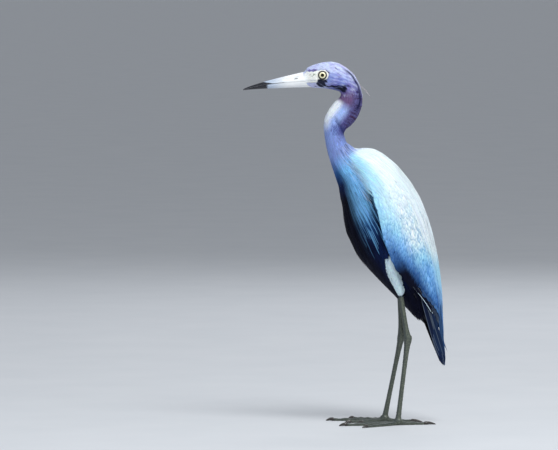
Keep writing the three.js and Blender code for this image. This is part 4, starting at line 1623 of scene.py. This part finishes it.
# %% From paths to blades
def blades(name, kind, path, normals, lift, width, thick, colours, edges, chart, roll=None,
           shaft_and_highlight=(0, 0)):
    """One mesh of closed blades, one for each path. lift is the height over the path, width the
    half-width and thick the thickness, in metres. colours and edges are each feather's tint inside
    and along its rim. The last argument gives the strengths of a pale shaft and of a painted
    highlight along the leading edge, one for all feathers or one for each."""
    section, outline, arch, bulge = KINDS[kind]
    count, rings = path.shape[:2]
    body, size = rings - 1, len(section)
    share = np.linspace(0, 1, rings)
    centre = path + normals * lift[..., None]
    forward = unit(np.gradient(centre, axis=1))
    side = unit(np.cross(forward, normals))
    up = unit(np.cross(side, forward))
    if roll is not None:
        turn = roll[:, None, None]
        side, up = side * np.cos(turn) + up * np.sin(turn), up * np.cos(turn) - side * np.sin(turn)
    half = np.broadcast_to(width, count)[:, None] * outline(share)
    thickness = thick * (1 - 0.6 * share)
    across, above = section.T
    points = centre[:, :body, None] + side[:, :body, None] * (half[:, :body, None] * across)[..., None]
    raised = thickness[:body, None] * above - arch * half[:, :body, None] * across ** 2
    points = points + up[:, :body, None] * raised[..., None]
    points = np.concatenate([points.reshape(count, -1, 3), centre[:, -1:]], 1)

    pattern, sizes = face_pattern(rings, size)
    per_feather = body * size + 1
    used = (np.arange(count)[:, None] * per_feather + pattern).ravel()
    starts = np.concatenate([[0], np.cumsum(np.tile(sizes, count))[:-1]])
    mesh = bpy.data.meshes.new(name)
    mesh.vertices.add(count * per_feather)
    mesh.vertices.foreach_set("co", points.ravel())
    mesh.loops.add(len(used))
    mesh.loops.foreach_set("vertex_index", used.astype(np.int32))
    mesh.polygons.add(len(starts))
    mesh.polygons.foreach_set("loop_start", starts.astype(np.int32))
    mesh.polygons.foreach_set("use_smooth", np.ones(len(starts), bool))
    mesh.update(calc_edges=True)

    vane_across = np.concatenate([np.tile(across, body), [0.0]])
    vane_along = np.concatenate([np.repeat(share[:body], size), [1.0]])
    over_all = unit(0.25 * up + 0.75 * normals)
    ring = np.concatenate([np.repeat(np.arange(body), size), [body]])
    faces_up = np.concatenate([np.tile(np.where(above < 0, -1.0, 1.0), body), [1.0]])
    shading = over_all[:, ring] * faces_up[:, None] + bulge * side[:, ring] * vane_across[:, None]
    free_normals = mesh.attributes.new("custom_normal", "FLOAT_VECTOR", "POINT")
    free_normals.data.foreach_set("vector", unit(shading).astype(np.float32).ravel())

    seed = np.repeat(rng.random(count), per_feather)
    vane = np.column_stack([vane_across, vane_along, 0 * vane_along])
    store(mesh, "vane", "FLOAT_VECTOR", np.tile(vane, (count, 1)))
    reach = np.linalg.norm(np.diff(centre, axis=1), axis=2).sum(1)
    barb_across = np.outer(np.broadcast_to(width, count), vane_across).ravel()
    barb_along = np.outer(reach, vane_along).ravel()
    store(mesh, "barb", "FLOAT_VECTOR", np.column_stack([barb_across / MM, barb_along / MM, 40 * seed]))
    marked = np.column_stack([np.broadcast_to(mark, count) for mark in (*shaft_and_highlight, 0)])
    store(mesh, "shaft_and_highlight", "FLOAT_VECTOR", np.repeat(marked, per_feather, 0))
    store(mesh, "plumage", "FLOAT_COLOR", on_rings(colours, body, size))
    store(mesh, "fringe", "FLOAT_COLOR", on_rings(edges, body, size))

    local = np.column_stack([vane_across * 0.5, vane_along - 0.5]) * PATCH
    spots = (np.repeat(spread_out(chart), per_feather, 0) + np.tile(local, (count, 1)))[used]
    bake_map = mesh.uv_layers.new(name="OFBake")
    bake_map.data.foreach_set("uv", spots.astype(np.float32).ravel())
    return mesh


# %% [markdown]
# One finish serves every feather. The tint of the vane gives way to the tint of its rim towards
# the sides and the tip, fine streaks run outwards along the barbs, and the quills of the wing and
# tail have a paler shaft and a painted highlight along the leading edge.

# %% Feather finish
feather_finish = Finish("feather", Roughness=0.62, Sheen_Weight=0.03, Sheen_Roughness=0.5)
feather_finish.shader.inputs["Specular IOR Level"].default_value = 0.08
vane_across, vane_along, _ = feather_finish.axes("vane")
barb_across, barb_along, barb_seed = feather_finish.axes("barb")
shaft_mark, edge_highlight, _ = feather_finish.axes("shaft_and_highlight")
from_shaft = feather_finish.math("ABSOLUTE", vane_across)
toward_edge = feather_finish.math("MAXIMUM", feather_finish.spread(from_shaft, 0.5, 0.95),
                                  feather_finish.spread(vane_along, 0.74, 0.97))
vane_tone = feather_finish.mix(toward_edge, feather_finish.attribute("plumage", "Color"),
                               feather_finish.attribute("fringe", "Color"))
slant = feather_finish.math("MULTIPLY", feather_finish.math("ABSOLUTE", barb_across), 1.1)
barb_place = feather_finish.math("SUBTRACT", barb_along, slant)
barb_row = feather_finish.math("MULTIPLY", barb_place, 2.6)
barb_vector = feather_finish.node("ShaderNodeCombineXYZ", {0: barb_row, 1: slant, 2: barb_seed})
barb_noise = feather_finish.noise(1.0, 2, barb_vector.outputs[0])
barb_streak = feather_finish.spread(barb_noise, 0.3, 0.7, 0.0, 0.22)
vane_tone = feather_finish.mix(barb_streak, vane_tone, paint(70, 84, 116), "MULTIPLY")
root_shade = feather_finish.spread(vane_along, 0.0, 0.5, 0.2, 0.0)
vane_tone = feather_finish.mix(root_shade, vane_tone, paint(40, 52, 84), "MULTIPLY")
near_shaft = feather_finish.spread(from_shaft, 0.04, 0.1, 1.0, 0.0)
near_shaft = feather_finish.math("MULTIPLY", near_shaft, shaft_mark)
# Painted highlight along the leading edge of the quills.
lit_leading_edge = feather_finish.math("MULTIPLY", feather_finish.spread(vane_across, 0.84, 0.92), edge_highlight)
pale_shaft_and_highlight = feather_finish.math("MAXIMUM", near_shaft, lit_leading_edge)
feather_finish.colour(feather_finish.mix(pale_shaft_and_highlight, vane_tone, paint(216, 236, 248)))


# %% Uneven tints, and pieces of the coat
def some(count, share):
    """1 for a random share of the feathers, 0 for the rest."""
    return (rng.random(count) < share).astype(float)


def varied(colours, amount=0.1, hue=0.03):
    """The same colours, each feather a little lighter, darker, warmer or cooler than the next."""
    apart = (len(colours),) + (1,) * (colours.ndim - 2)
    return np.clip(colours * uneven((*apart, 1), amount) * uneven((*apart, 3), hue), 0, 1)


def paler(colours, share, toward=(226, 232, 252)):
    """The colours mixed with a pale tint."""
    return colours * (1 - share) + tint(*toward) * share


coat_size = {}


def add_coat(mesh, slot, *replaced):
    coat_size[mesh.name] = sum(len(p.vertices) - 2 for p in mesh.polygons)
    print(f"{mesh.name}: {coat_size[mesh.name]} triangles")
    new_piece(mesh.name, mesh, feather_finish.material, slot, *replaced)


def grow_coat(name, kind, slot, roots, path, normals, lift, width, thick, tone, rim, roll,
              shaft_and_highlight=(0, 0)):
    """The feathers of one region as a piece, each rolled by chance about its own length."""
    chart = body_chart(roots)
    rolls = uneven(len(roots), roll, 0)
    add_coat(blades(name, kind, path, normals, lift, width, thick, tone, rim, chart, rolls, shaft_and_highlight), slot)


# %% [markdown]
# ## Feathers of the head
# Tiny and hair-like round the bill and eye, longer over the crown and cheeks. The markings are
# small: a broken dark line along the cheek's lower edge, dark spots over the bare lores, and pale
# and dusky streaks on the cheek. A dark patch from the eye to the corner of the jaw is painted
# shadow.

# %% Head feathers
def face_distance(points):
    y, z = side_view(points)
    return np.hypot(y - (EYE_Y - 12), z - EYE_Z)


def head_spacing(points):
    return (0.4 + 0.3 * smoothstep(8, 36, face_distance(points))) * MM


def feathered(points):
    return bareness(points) < 0.4


roots = scatter("head", head_spacing, feathered)
far = smoothstep(6, 36, face_distance(roots))
length = (1.8 + 4.0 * far) * MM * uneven(len(roots), 0.15)
yaw = uneven(len(roots), 0.1, 0) + 0.14 * mottle(roots, 7)
path, normals, depth = walk(body_ground, roots, length, 3, body_lie, 0.2, yaw)
lift = tiled(depth)
width = (0.4 + 0.28 * far) * MM
tone = varied(along_path(path, "head"), 0.1)
roll = uneven(len(roots), 0.02, 0)

for side, sign in SIDES.items():
    mine = roots[:, 0] * sign > 0
    mesh = blades(f"head_feathers_{side}", "tuft", path[mine], normals[mine], lift[mine],
                  width[mine], 0.06 * MM, tone[mine], tone[mine] * 1.15,
                  body_chart(roots[mine]), roll[mine])
    add_coat(mesh, "head")


# %% [markdown]
# Long narrow feathers grow from the back of the crown and hug the nape as a crest, painted near
# white as a highlight where it catches the light. Two wisps of it, of three strands each, stand free.

# %% Crest
def crest_ground(points):
    length, angle = body_angle(points)
    return (length > 36 * MM) & (length < 52 * MM) & (np.abs(angle) < 0.36)


roots = scatter("head", evenly(1.3), crest_ground)
length = 27 * MM * uneven(len(roots), 0.2)
path, normals, depth = walk(body_ground, roots, length, 10, body_lie, 0.35,
                            uneven(len(roots), 0.04, 0))
lift = tiled(depth, 0.8, 1.15) + 0.25 * MM * np.linspace(0, 1, 11)
# Painted highlight: the crest's pale tint.
tone = varied(np.tile(tint(206, 210, 244), (len(roots), 1)), 0.12)
grow_coat("nape_crest", "plume", "head", roots, path, normals, lift,
          0.45 * MM * uneven(len(roots), 0.2), 0.14 * MM, tone, tone * 1.1, 0.2)


# %% Wisps
STRANDS = 3
WISP_RINGS = 9

for side, sign in SIDES.items():
    low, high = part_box(f"nape_plume_{side}")
    t = np.linspace(0, 1, WISP_RINGS)
    lower = np.array([0, 2.6, -2.6]) * MM * (sign > 0)
    start = np.array([low.x if sign > 0 else high.x, low.y - 3.0 * MM, high.z + 3.4 * MM]) + lower
    end = np.array([high.x if sign > 0 else low.x, high.y - 0.5 * MM, low.z + 0.8 * MM]) + 0.5 * lower
    apart = 0.25 * MM * rng.standard_normal((STRANDS, 1, 3))
    bow = np.array([0, 0.7, 0.7]) * 0.5 * MM * np.sin(np.pi * t)[:, None]
    reach = (end - start) * t[:, None] * uneven((STRANDS, 1, 1), 0.03, 0.97)
    path = start + reach + bow + apart * t[:, None]
    normals = np.broadcast_to(unit(np.array([sign, 0.3, 0.4])), path.shape)
    tone = varied(np.tile(tint(190, 182, 186), (STRANDS, 1)), 0.2)
    mesh = blades(f"nape_wisp_{side}", "plume", path, normals, np.zeros(path.shape[:2]), 0.26 * MM,
                  0.14 * MM, tone, tone, rng.random((STRANDS, 2)))
    mesh.attributes.remove(mesh.attributes["custom_normal"])
    add_coat(mesh, "head", f"nape_plume_{side}")


# %% [markdown]
# ## Feathers of the neck
# The front of the neck is smooth, like short fur, and painted near white as a highlight where it
# bends forward. Behind, the feathers are broader and lie in ripples like small scales, each with a
# darker rim, and where the neck folds they hang free in a ragged fringe.

# %% Neck feathers
def nape_share(points):
    _, angle = body_angle(points)
    return fade(1.3, 2.0, np.abs(angle))


def is_nape(points):
    return rng.random(len(points)) < nape_share(points)


def is_front(points):
    return rng.random(len(points)) > nape_share(points) * 0.9


roots = scatter("neck", evenly(0.72), is_front)
along = body_angle(roots)[0] / MM
length = (4.6 + 4.5 * smoothstep(96, 150, along)) * MM * uneven(len(roots), 0.14)
yaw = uneven(len(roots), 0.1, 0) + 0.12 * mottle(roots, 8)
path, normals, depth = walk(body_ground, roots, length, 4, body_lie, 0.3, yaw)
tone = varied(along_path(path, "neck"), 0.08)
grow_coat("neck_front_feathers", "tuft", "neck", roots, path, normals, tiled(depth), 0.85 * MM,
          0.07 * MM, tone, tone * 1.1, 0.02)


# %% Nape feathers
roots = in_rows(scatter("neck", evenly(1.0), is_nape), 2.7 * MM, 0.7)
along = body_angle(roots)[0] / MM
fringe = smoothstep(86, 98, along) * fade(104, 112, along)
length = (6.0 + 4.0 * smoothstep(96, 150, along) + 4.5 * fringe) * MM
length = length * uneven(len(roots), 0.1)
yaw = uneven(len(roots), 0.1, 0) + 0.1 * mottle(roots, 10)
path, normals, depth = walk(body_ground, roots, length, 5, body_lie, 0.85, yaw)
tone = varied(along_path(path, "neck"), 0.1)
tip_shade = (0.8 * fringe[:, None] * np.linspace(0, 1, 6) ** 3)[..., None]
tone = tone * (1 - tip_shade) + tint(44, 60, 140) * tip_shade
grow_coat("nape_feathers", "scale", "neck", roots, path, normals,
          tiled(depth, 0.64, 0.98), 0.85 * MM, 0.14 * MM, tone, tone * 0.82, 0.06)


# %% [markdown]
# ## Breast and belly
# Soft feathers lie close on the trunk. Long narrow plumes hang over them from the base of the
# neck, some pale where the light catches them and some nearly black between.

# %% Breast feathers
def is_open_trunk(points):
    u, v = wing_share(points)
    return (body_angle(points)[0] < 342 * MM) & ((u < 0.1) | (u > 0.9) | (v > 0.97))


def is_open_thigh_top(points):
    return (above_thigh(points) > 0.5) & (wing_share(points)[1] > 1.0)


roots = np.concatenate([
    scatter("trunk", evenly(1.7), is_open_trunk),
    scatter("thigh", evenly(1.2), is_open_thigh_top),
])
root_y, root_z = side_view(roots)
on_thigh = (np.abs(roots[:, 0]) / MM > 18) & (above_thigh(roots) > 0.5)
on_thigh &= (root_z < THIGH_TOP + 10) & (np.abs(root_y - THIGH_Y) < 13)
length = (11 - 5 * smoothstep(300, 342, body_angle(roots)[0] / MM) - 6.5 * on_thigh) * MM
length *= uneven(len(roots), 0.15)
path, normals, depth = walk(whole_ground, roots, length, 4, body_lie, 0.3,
                            uneven(len(roots), 0.1, 0))
tone = varied(along_path(path, "trunk"), 0.1)
grow_coat("breast_feathers", "tuft", "body", roots, path, normals,
          tiled(depth, 0.5, 0.75), 1.2 * MM, 0.16 * MM, tone, tone * 1.15, 0.1)


# %% Breast plumes
def plume_ground(points):
    length, angle = body_angle(points)
    along = length / MM
    return (along > 124) & (along < 232) & (np.abs(angle) > 0.9)


roots = np.concatenate([
    scatter("neck", evenly(1.9), plume_ground),
    scatter("trunk", evenly(2.9), plume_ground),
])
along, angle = body_angle(roots)
along, angle = along / MM, np.abs(angle)
length = (20 + 24 * rng.random(len(roots))) * MM * smoothstep(95, 165, along)
length = np.maximum(length, 12 * MM)
path, normals, depth = walk(body_ground, roots, length, 8, body_lie, 0.25,
                            uneven(len(roots), 0.06, 0))
lit = some(len(roots), 0.4)
lit *= fade(2.0, 2.6, angle) * smoothstep(146, 170, along)
tone = along_path(path, "trunk")
tone = varied(tone, 0.16) * (1 - 0.15 * smoothstep(150, 175, along))[:, None, None]
tone = paler(tone, 0.7 * lit[:, None, None], (120, 190, 244))
grow_coat("breast_plumes", "plume", "body", roots, path, normals,
          tiled(depth, 0.72, 0.98), (0.5 + 0.4 * rng.random(len(roots))) * MM, 0.18 * MM,
          tone, tone * 1.1, 0.15)


# %% [markdown]
# ## Thighs
# Short soft feathers like fur, down to where the scales of the leg begin.

# %% Thigh feathers
def is_low_thigh(sign):
    def keep(points):
        shown = (points[:, 0] * sign > 0) & (wing_share(points)[1] > 1.02)
        return shown & (above_thigh(points) < 0.5)
    return keep


for side, sign in SIDES.items():
    roots = scatter("thigh", evenly(0.9), is_low_thigh(sign))
    length = 5.5 * MM * uneven(len(roots), 0.15)
    path, normals, deep = walk(thigh_ground, roots, length, 3, thigh_lie, 0.3,
                               uneven(len(roots), 0.12, 0))
    tone = varied(plumage(roots, "thigh"), 0.07)
    middle = box_middle(f"thigh_{side}")
    spin = np.arctan2(roots[:, 0] - middle.x, roots[:, 1] - middle.y)
    mesh = blades(f"thigh_feathers_{side}", "tuft", path, normals, tiled(deep), 1.15 * MM, 0.1 * MM,
                  tone, paler(tone, 0.15), np.column_stack([spin, roots[:, 2]]),
                  uneven(len(roots), 0.05, 0))
    add_coat(mesh, "body")


# %% [markdown]
# ## Wings
# The folded wing is tiled. Small coverts cover the shoulder and grow larger down the wing, turning
# out towards its leading edge, where they end in one even border. Below them come a row
# of greater coverts and then the long quills, whose tips run down to the tip of the wing one
# behind another. The rows are laid out by shares of the wing: u down it, v across it.

# %% Where the coverts lie
COVERT_BORDER = [(0.0, 0.97), (0.3, 0.93), (0.5, 0.87), (0.62, 0.83), (0.75, 0.79), (0.9, 0.73),
                 (1.0, 0.68)]


def covert_border(v):
    """How far down the wing the tips of the coverts reach, at each share across it."""
    return np.interp(v, *zip(*COVERT_BORDER))


def covert_spacing(points):
    u, _ = wing_share(points)
    return (1.7 + 0.8 * np.clip(u, 0, 1)) * MM


def on_covert_ground(sign):
    def keep(points):
        u, v = wing_share(points)
        return (points[:, 0] * sign > 0) & (u < covert_border(v) - 0.05) & (v < 1)
    return keep


# What a dusky feather or rim keeps back of red, green and blue: it is bluer than a pale one.
DUSKY = np.array([0.72, 0.5, 0.3])


def covert_turn(u, v):
    """How far coverts turn out towards the leading edge, most in the middle of the wing's length."""
    spread = np.clip(v, 0, 1.1) ** 1.3 * (1 - 0.6 * smoothstep(0.8, 1.0, v))
    return math.radians(42) * spread * smoothstep(0.12, 0.5, u) * fade(0.7, 0.95, u)


def lies_smoothly(path, normals):
    """True for each feather whose path neither jumps nor turns over between two rings."""
    steps = np.linalg.norm(np.diff(path, axis=1), axis=2)
    turns = (normals[:, 1:] * normals[:, :-1]).sum(2)
    return (turns.min(1) > 0.75) & (steps.max(1) < 2.2 * np.median(steps, axis=1))


# %% Wing coverts
for side, sign in SIDES.items():
    roots = scatter("wing", covert_spacing, on_covert_ground(sign))
    u, v = wing_share(roots)
    reach = (9 + 11 * np.clip(u, 0, 1)) * MM * uneven(len(roots), 0.08)
    yaw = uneven(len(roots), 0.05, 0) + 0.05 * mottle(roots, 16)
    length, angle, *_ = wing_cape.paths(roots, reach, 5, covert_turn, yaw)
    edge = np.interp(length, WING_LENGTHS, WING_EDGE) * (1.05 - 0.06 * rng.random((len(roots), 1)))
    angle = np.clip(angle, -edge, edge)
    path, normals, deep = wing_cape.at(length, angle)
    tip_u, tip_v = wing_shares(length[:, -1], angle[:, -1])
    kept = (tip_u < covert_border(tip_v) + 0.01) & lies_smoothly(path, normals)
    roots, u, path, normals, deep = roots[kept], u[kept], path[kept], normals[kept], deep[kept]
    lower = smoothstep(0.12, 0.48, u)[:, None, None]
    dim = 0.5 * lower * some(len(roots), 0.12)[:, None, None]
    tone = varied(along_path(path, "wing") * (1 - dim * DUSKY), 0.08, 0.015)
    rim = tone * (1 - (0.1 + 0.75 * lower) * DUSKY)
    grow_coat(f"wing_coverts_{side}", "covert", "wing", roots, path, normals, tiled(deep, 0.62, 0.92),
              (1.4 + 1.25 * np.clip(u, 0, 1)) * MM, 0.12 * MM, tone, rim, 0.03,
              (0.12 * fade(0.4, 0.58, u), 0.0))


# %% Rows of quills
def quill_row(name, side, starts, ends, half_width, height, tone, shaft_and_highlight, rings=14):
    """A row of long feathers of one wing: starts and ends are their shares (u, v). Without a tone
    of their own they take the wing's."""
    sign = SIDES[side]
    t = np.linspace(0, 1, rings)[None, :]
    u = starts[0][:, None] + (ends[0] - starts[0])[:, None] * t
    v = starts[1][:, None] + (ends[1] - starts[1])[:, None] * t
    length = WING_LENGTHS[0] + u * (WING_LENGTHS[-1] - WING_LENGTHS[0])
    path, normals, deep = wing_cape.at(length, sign * v * np.interp(length, WING_LENGTHS, WING_EDGE))
    lift = deep * (height[0] + (height[1] - height[0]) * t)
    roll = np.full(len(u), 0.07 * sign)
    tone = varied(along_path(path, "wing") if tone is None else tone, 0.05, 0.02)
    return blades(name, "quill", path, normals, lift, half_width, 0.3 * MM, tone, tone * 0.85,
                  body_chart(path[:, 0]), roll, shaft_and_highlight)


QUILLS = 10
GREATER_COVERTS = 12

for side in SIDES:
    order = np.linspace(0, 1, QUILLS)
    starts = (0.6 + 0.04 * order, 0.25 + 0.7 * order)
    ends = (0.96 - 0.07 * order, 0.3 + 0.5 * order)
    # Near black towards the leading edge: partly the quills' own dark, partly painted shade.
    tone = mixed(np.tile(FLIGHT, (QUILLS, 1)), NAVY_DARK_AND_SHADE, 0.3 + 0.7 * order)
    mesh = quill_row(f"wing_quills_{side}", side, starts, ends, 4.2 * MM, (0.0, 0.5), tone,
                     (0.1, 0.1 + 0.9 * (order > 0.85)), 18)
    add_coat(mesh, "flight")

    order = np.linspace(0, 1, GREATER_COVERTS)
    starts = (covert_border(0.2 + 0.78 * order) - 0.15, 0.18 + 0.8 * order)
    ends = (covert_border(0.2 + 0.78 * order) + 0.015, 0.2 + 0.8 * order)
    mesh = quill_row(f"greater_coverts_{side}", side, starts, ends, 3.6 * MM, (0.2, 0.8), None,
                     (0.1, 0.0), 10)
    add_coat(mesh, "wing")


# %% [markdown]
# The wingtips and the tail lie beyond the skin, so their feathers run straight from root to tip.
# On each side three broad primaries show, near black, partly their own dark and partly painted
# shade, and behind them a narrow blue one that runs down to the very tip. The tail has twelve
# feathers, folded in a narrow fan, the middle pair on top.

# %% Wingtips
TIP_BLADES = 4
TIP_RINGS = 14
TIP_HALF_WIDTH = np.array([5.0, 5.0, 4.4, 2.0]) * MM
TIP_BLUE = np.array([0.05, 0.08, 0.15, 0.45])


def straight_path(starts, ends, rings, sag):
    t = np.linspace(0, 1, rings)[None, :, None]
    path = starts[:, None] + (ends - starts)[:, None] * t
    return path - sag[:, None] * 4 * t * (1 - t)


for side, sign in SIDES.items():
    low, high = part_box(f"primaries_{side}")
    behind = np.arange(3)[:, None] * MM
    outer, inner = (high.x, low.x) if sign > 0 else (low.x, high.x)
    starts = np.array([outer - 2.5 * MM * sign, low.y + 7 * MM, high.z])
    ends = np.array([inner + 2.5 * MM * sign, high.y - 2 * MM, low.z])
    starts = starts + behind * [-0.6 * sign, 0.4, 0.8]
    ends = ends + behind * [0.7 * sign, -0.7, 6.0]
    blue_start = [inner + 3 * MM * sign, high.y - 10 * MM, high.z]
    blue_end = [inner + 2 * MM * sign, high.y - 1.5 * MM, low.z + 0.5 * MM]
    starts, ends = np.vstack([starts, blue_start]), np.vstack([ends, blue_end])
    face = unit(np.array([[sign, 0.34, 0.12]]))
    path = straight_path(starts, ends, TIP_RINGS, 1.2 * MM * face.repeat(TIP_BLADES, 0))
    tone = varied(mixed(np.tile(NAVY_DARK_AND_SHADE, (TIP_BLADES, 1)), WING_DUSK, TIP_BLUE), 0.06)
    mesh = blades(f"wingtip_{side}", "quill", path, np.broadcast_to(face[:, None], path.shape),
                  np.zeros(path.shape[:2]), TIP_HALF_WIDTH, 0.4 * MM, tone, tone * 1.4,
                  rng.random((TIP_BLADES, 2)), np.full(TIP_BLADES, 0.05 * sign), (0.1, 0.1))
    add_coat(mesh, "wing", f"primaries_{side}")


# %% Tail
TAIL_FEATHERS = 12
low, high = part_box("tail")
tail_tip = np.array([0.0, high.y - 0.4 * MM, low.z + 0.4 * MM])
tail_heading = unit(np.array([0.0, 0.36, -0.93]))
tail_back = np.array([0.0, 0.93, 0.36])
place = np.linspace(-1, 1, TAIL_FEATHERS)
length = (78 - 2.0 * np.abs(place) ** 1.5) * MM
spread_end = (high.x - low.x) / 2 - 5.2 * MM
ends = tail_tip - np.abs(place)[:, None] ** 2 * (1.4 * MM * tail_heading + 2.2 * MM * tail_back)
ends[:, 0] = place * spread_end
starts = ends - length[:, None] * tail_heading
starts[:, 0] = place * 3.5 * MM
from_middle = np.argsort(np.argsort(np.abs(place)))
level = 0.16 * MM * (TAIL_FEATHERS / 2 - from_middle)
starts, ends = starts + level[:, None] * tail_back, ends + 0.4 * level[:, None] * tail_back
face = unit(tail_back + 0.28 * place[:, None] * np.array([1.0, 0, 0]))
path = straight_path(starts, ends, 14, 0.5 * MM * face)
# The outer tail feathers are near black: partly their own dark, partly painted shade.
tone = mixed(np.tile(WING_DUSK, (TAIL_FEATHERS, 1)), NAVY_DARK_AND_SHADE, smoothstep(0.3, 0.8, np.abs(place)))
tone = varied(tone, 0.06)
normals = np.broadcast_to(face[:, None], path.shape)
mesh = blades("tail_feathers", "quill", path, normals, np.zeros(path.shape[:2]), 4.9 * MM,
              0.35 * MM, tone, tone * 1.2, np.column_stack([place, 0 * place]), None, (0.4, 0.0))
add_coat(mesh, "flight", "tail")


# %% [markdown]
# ## The back
# Between the wings lie the scapulars and the long loose plumes of the back, silky and painted pale
# as a highlight, which reach nearly to the tip of the tail. More of them fall from the shoulder
# over the front edge of each wing.

# %% Mantle feathers
MANTLE_TOP = 304 * MM

roots = scatter("mantle", evenly(2.0))
length = 13 * MM * uneven(len(roots), 0.12)
yaw = uneven(len(roots), 0.06, 0)
_, _, path, normals, depth = wing_cape.paths(roots, length, 5, None, yaw)
# Feathers from the highest roots would stand up against the neck, and are left out.
kept = lies_smoothly(path, normals) & (roots[:, 2] < MANTLE_TOP)
roots, path = roots[kept], path[kept]
normals, depth = normals[kept], depth[kept]
tone = varied(along_path(path, "mantle"), 0.05, 0.015)
grow_coat("mantle_feathers", "covert", "wing", roots, path, normals,
          tiled(depth, 0.55, 0.85), 1.7 * MM, 0.14 * MM, tone, paler(tone, 0.1), 0.05)


# %% Back plumes
def is_scapular(points):
    u, v = wing_share(points)
    return (u > 0.02) & (u < 0.55) & (v < 0.5 - 0.3 * u)


roots = np.concatenate([
    scatter("mantle", evenly(3.0), is_scapular),
    scatter("wing", evenly(3.6), is_scapular),
])
u, _ = wing_share(roots)
length = (26 + 78 * np.clip(u, 0, 1) + 16 * rng.random(len(roots))) * MM
ends = (384 - 8 * rng.random(len(roots))) * MM
length = np.minimum(length, ends - body_angle(roots)[0])
yaw = uneven(len(roots), 0.03, 0)
_, _, path, normals, depth = wing_cape.paths(roots, length, 14, None, yaw)
tone = varied(along_path(path, "wing"), 0.06, 0.02)
grow_coat("back_plumes", "plume", "wing", roots, path, normals,
          tiled(depth, 0.8, 1.02), (0.7 + 0.5 * rng.random(len(roots))) * MM, 0.16 * MM,
          tone, paler(tone, 0.15), 0.08)


# %% Shoulder plumes
count = 3000
share = np.linspace(0, 1, 8)
start = (130 + 44 * rng.random(count)) * MM
angle = 1.82 * rng.random(count) * np.sign(rng.random(count) - 0.5)
reach = (13 + 20 * rng.random(count)) * MM
turn = 0.16 * np.sign(angle) * uneven(count, 0.5, 0.6)
turn *= smoothstep(0.5, 1.2, np.abs(angle))
along = start[:, None] + reach[:, None] * share
around = angle[:, None] - turn[:, None] * share
path, normals, _ = shoulder_cape.at(along, around)
lift = (1.5 + 0.4 * np.sin(np.pi * share) + 0.05 * uneven(count, 1, 0)[:, None]) * MM
lift[:, 0] = 0.5 * MM
u, v = wing_share(path.reshape(-1, 3))
over_wing = fade(0.92, 1.06, v) * smoothstep(-0.02, 0.06, u)
over_wing = over_wing.reshape(count, -1, 1)
tone = along_path(path, "trunk") * (1 - over_wing)
tone += along_path(path, "wing") * over_wing
tone = tone * (1 - 0.45 * some(count, 0.3)[:, None, None] * (1 - over_wing))
tone = varied(tone, 0.08)
tone = paler(tone, 0.2 * some(count, 0.3)[:, None, None])
mesh = blades("shoulder_plumes", "plume", path, normals, lift, (0.7 + 0.5 * rng.random(count)) * MM,
              0.16 * MM, tone, paler(tone, 0.1), np.column_stack([start, angle]),
              uneven(count, 0.04, 0))
add_coat(mesh, "wing")

print("coat:", sum(coat_size.values()), "triangles in", len(coat_size), "pieces")
print("the largest piece has", max(coat_size.values()), "triangles")
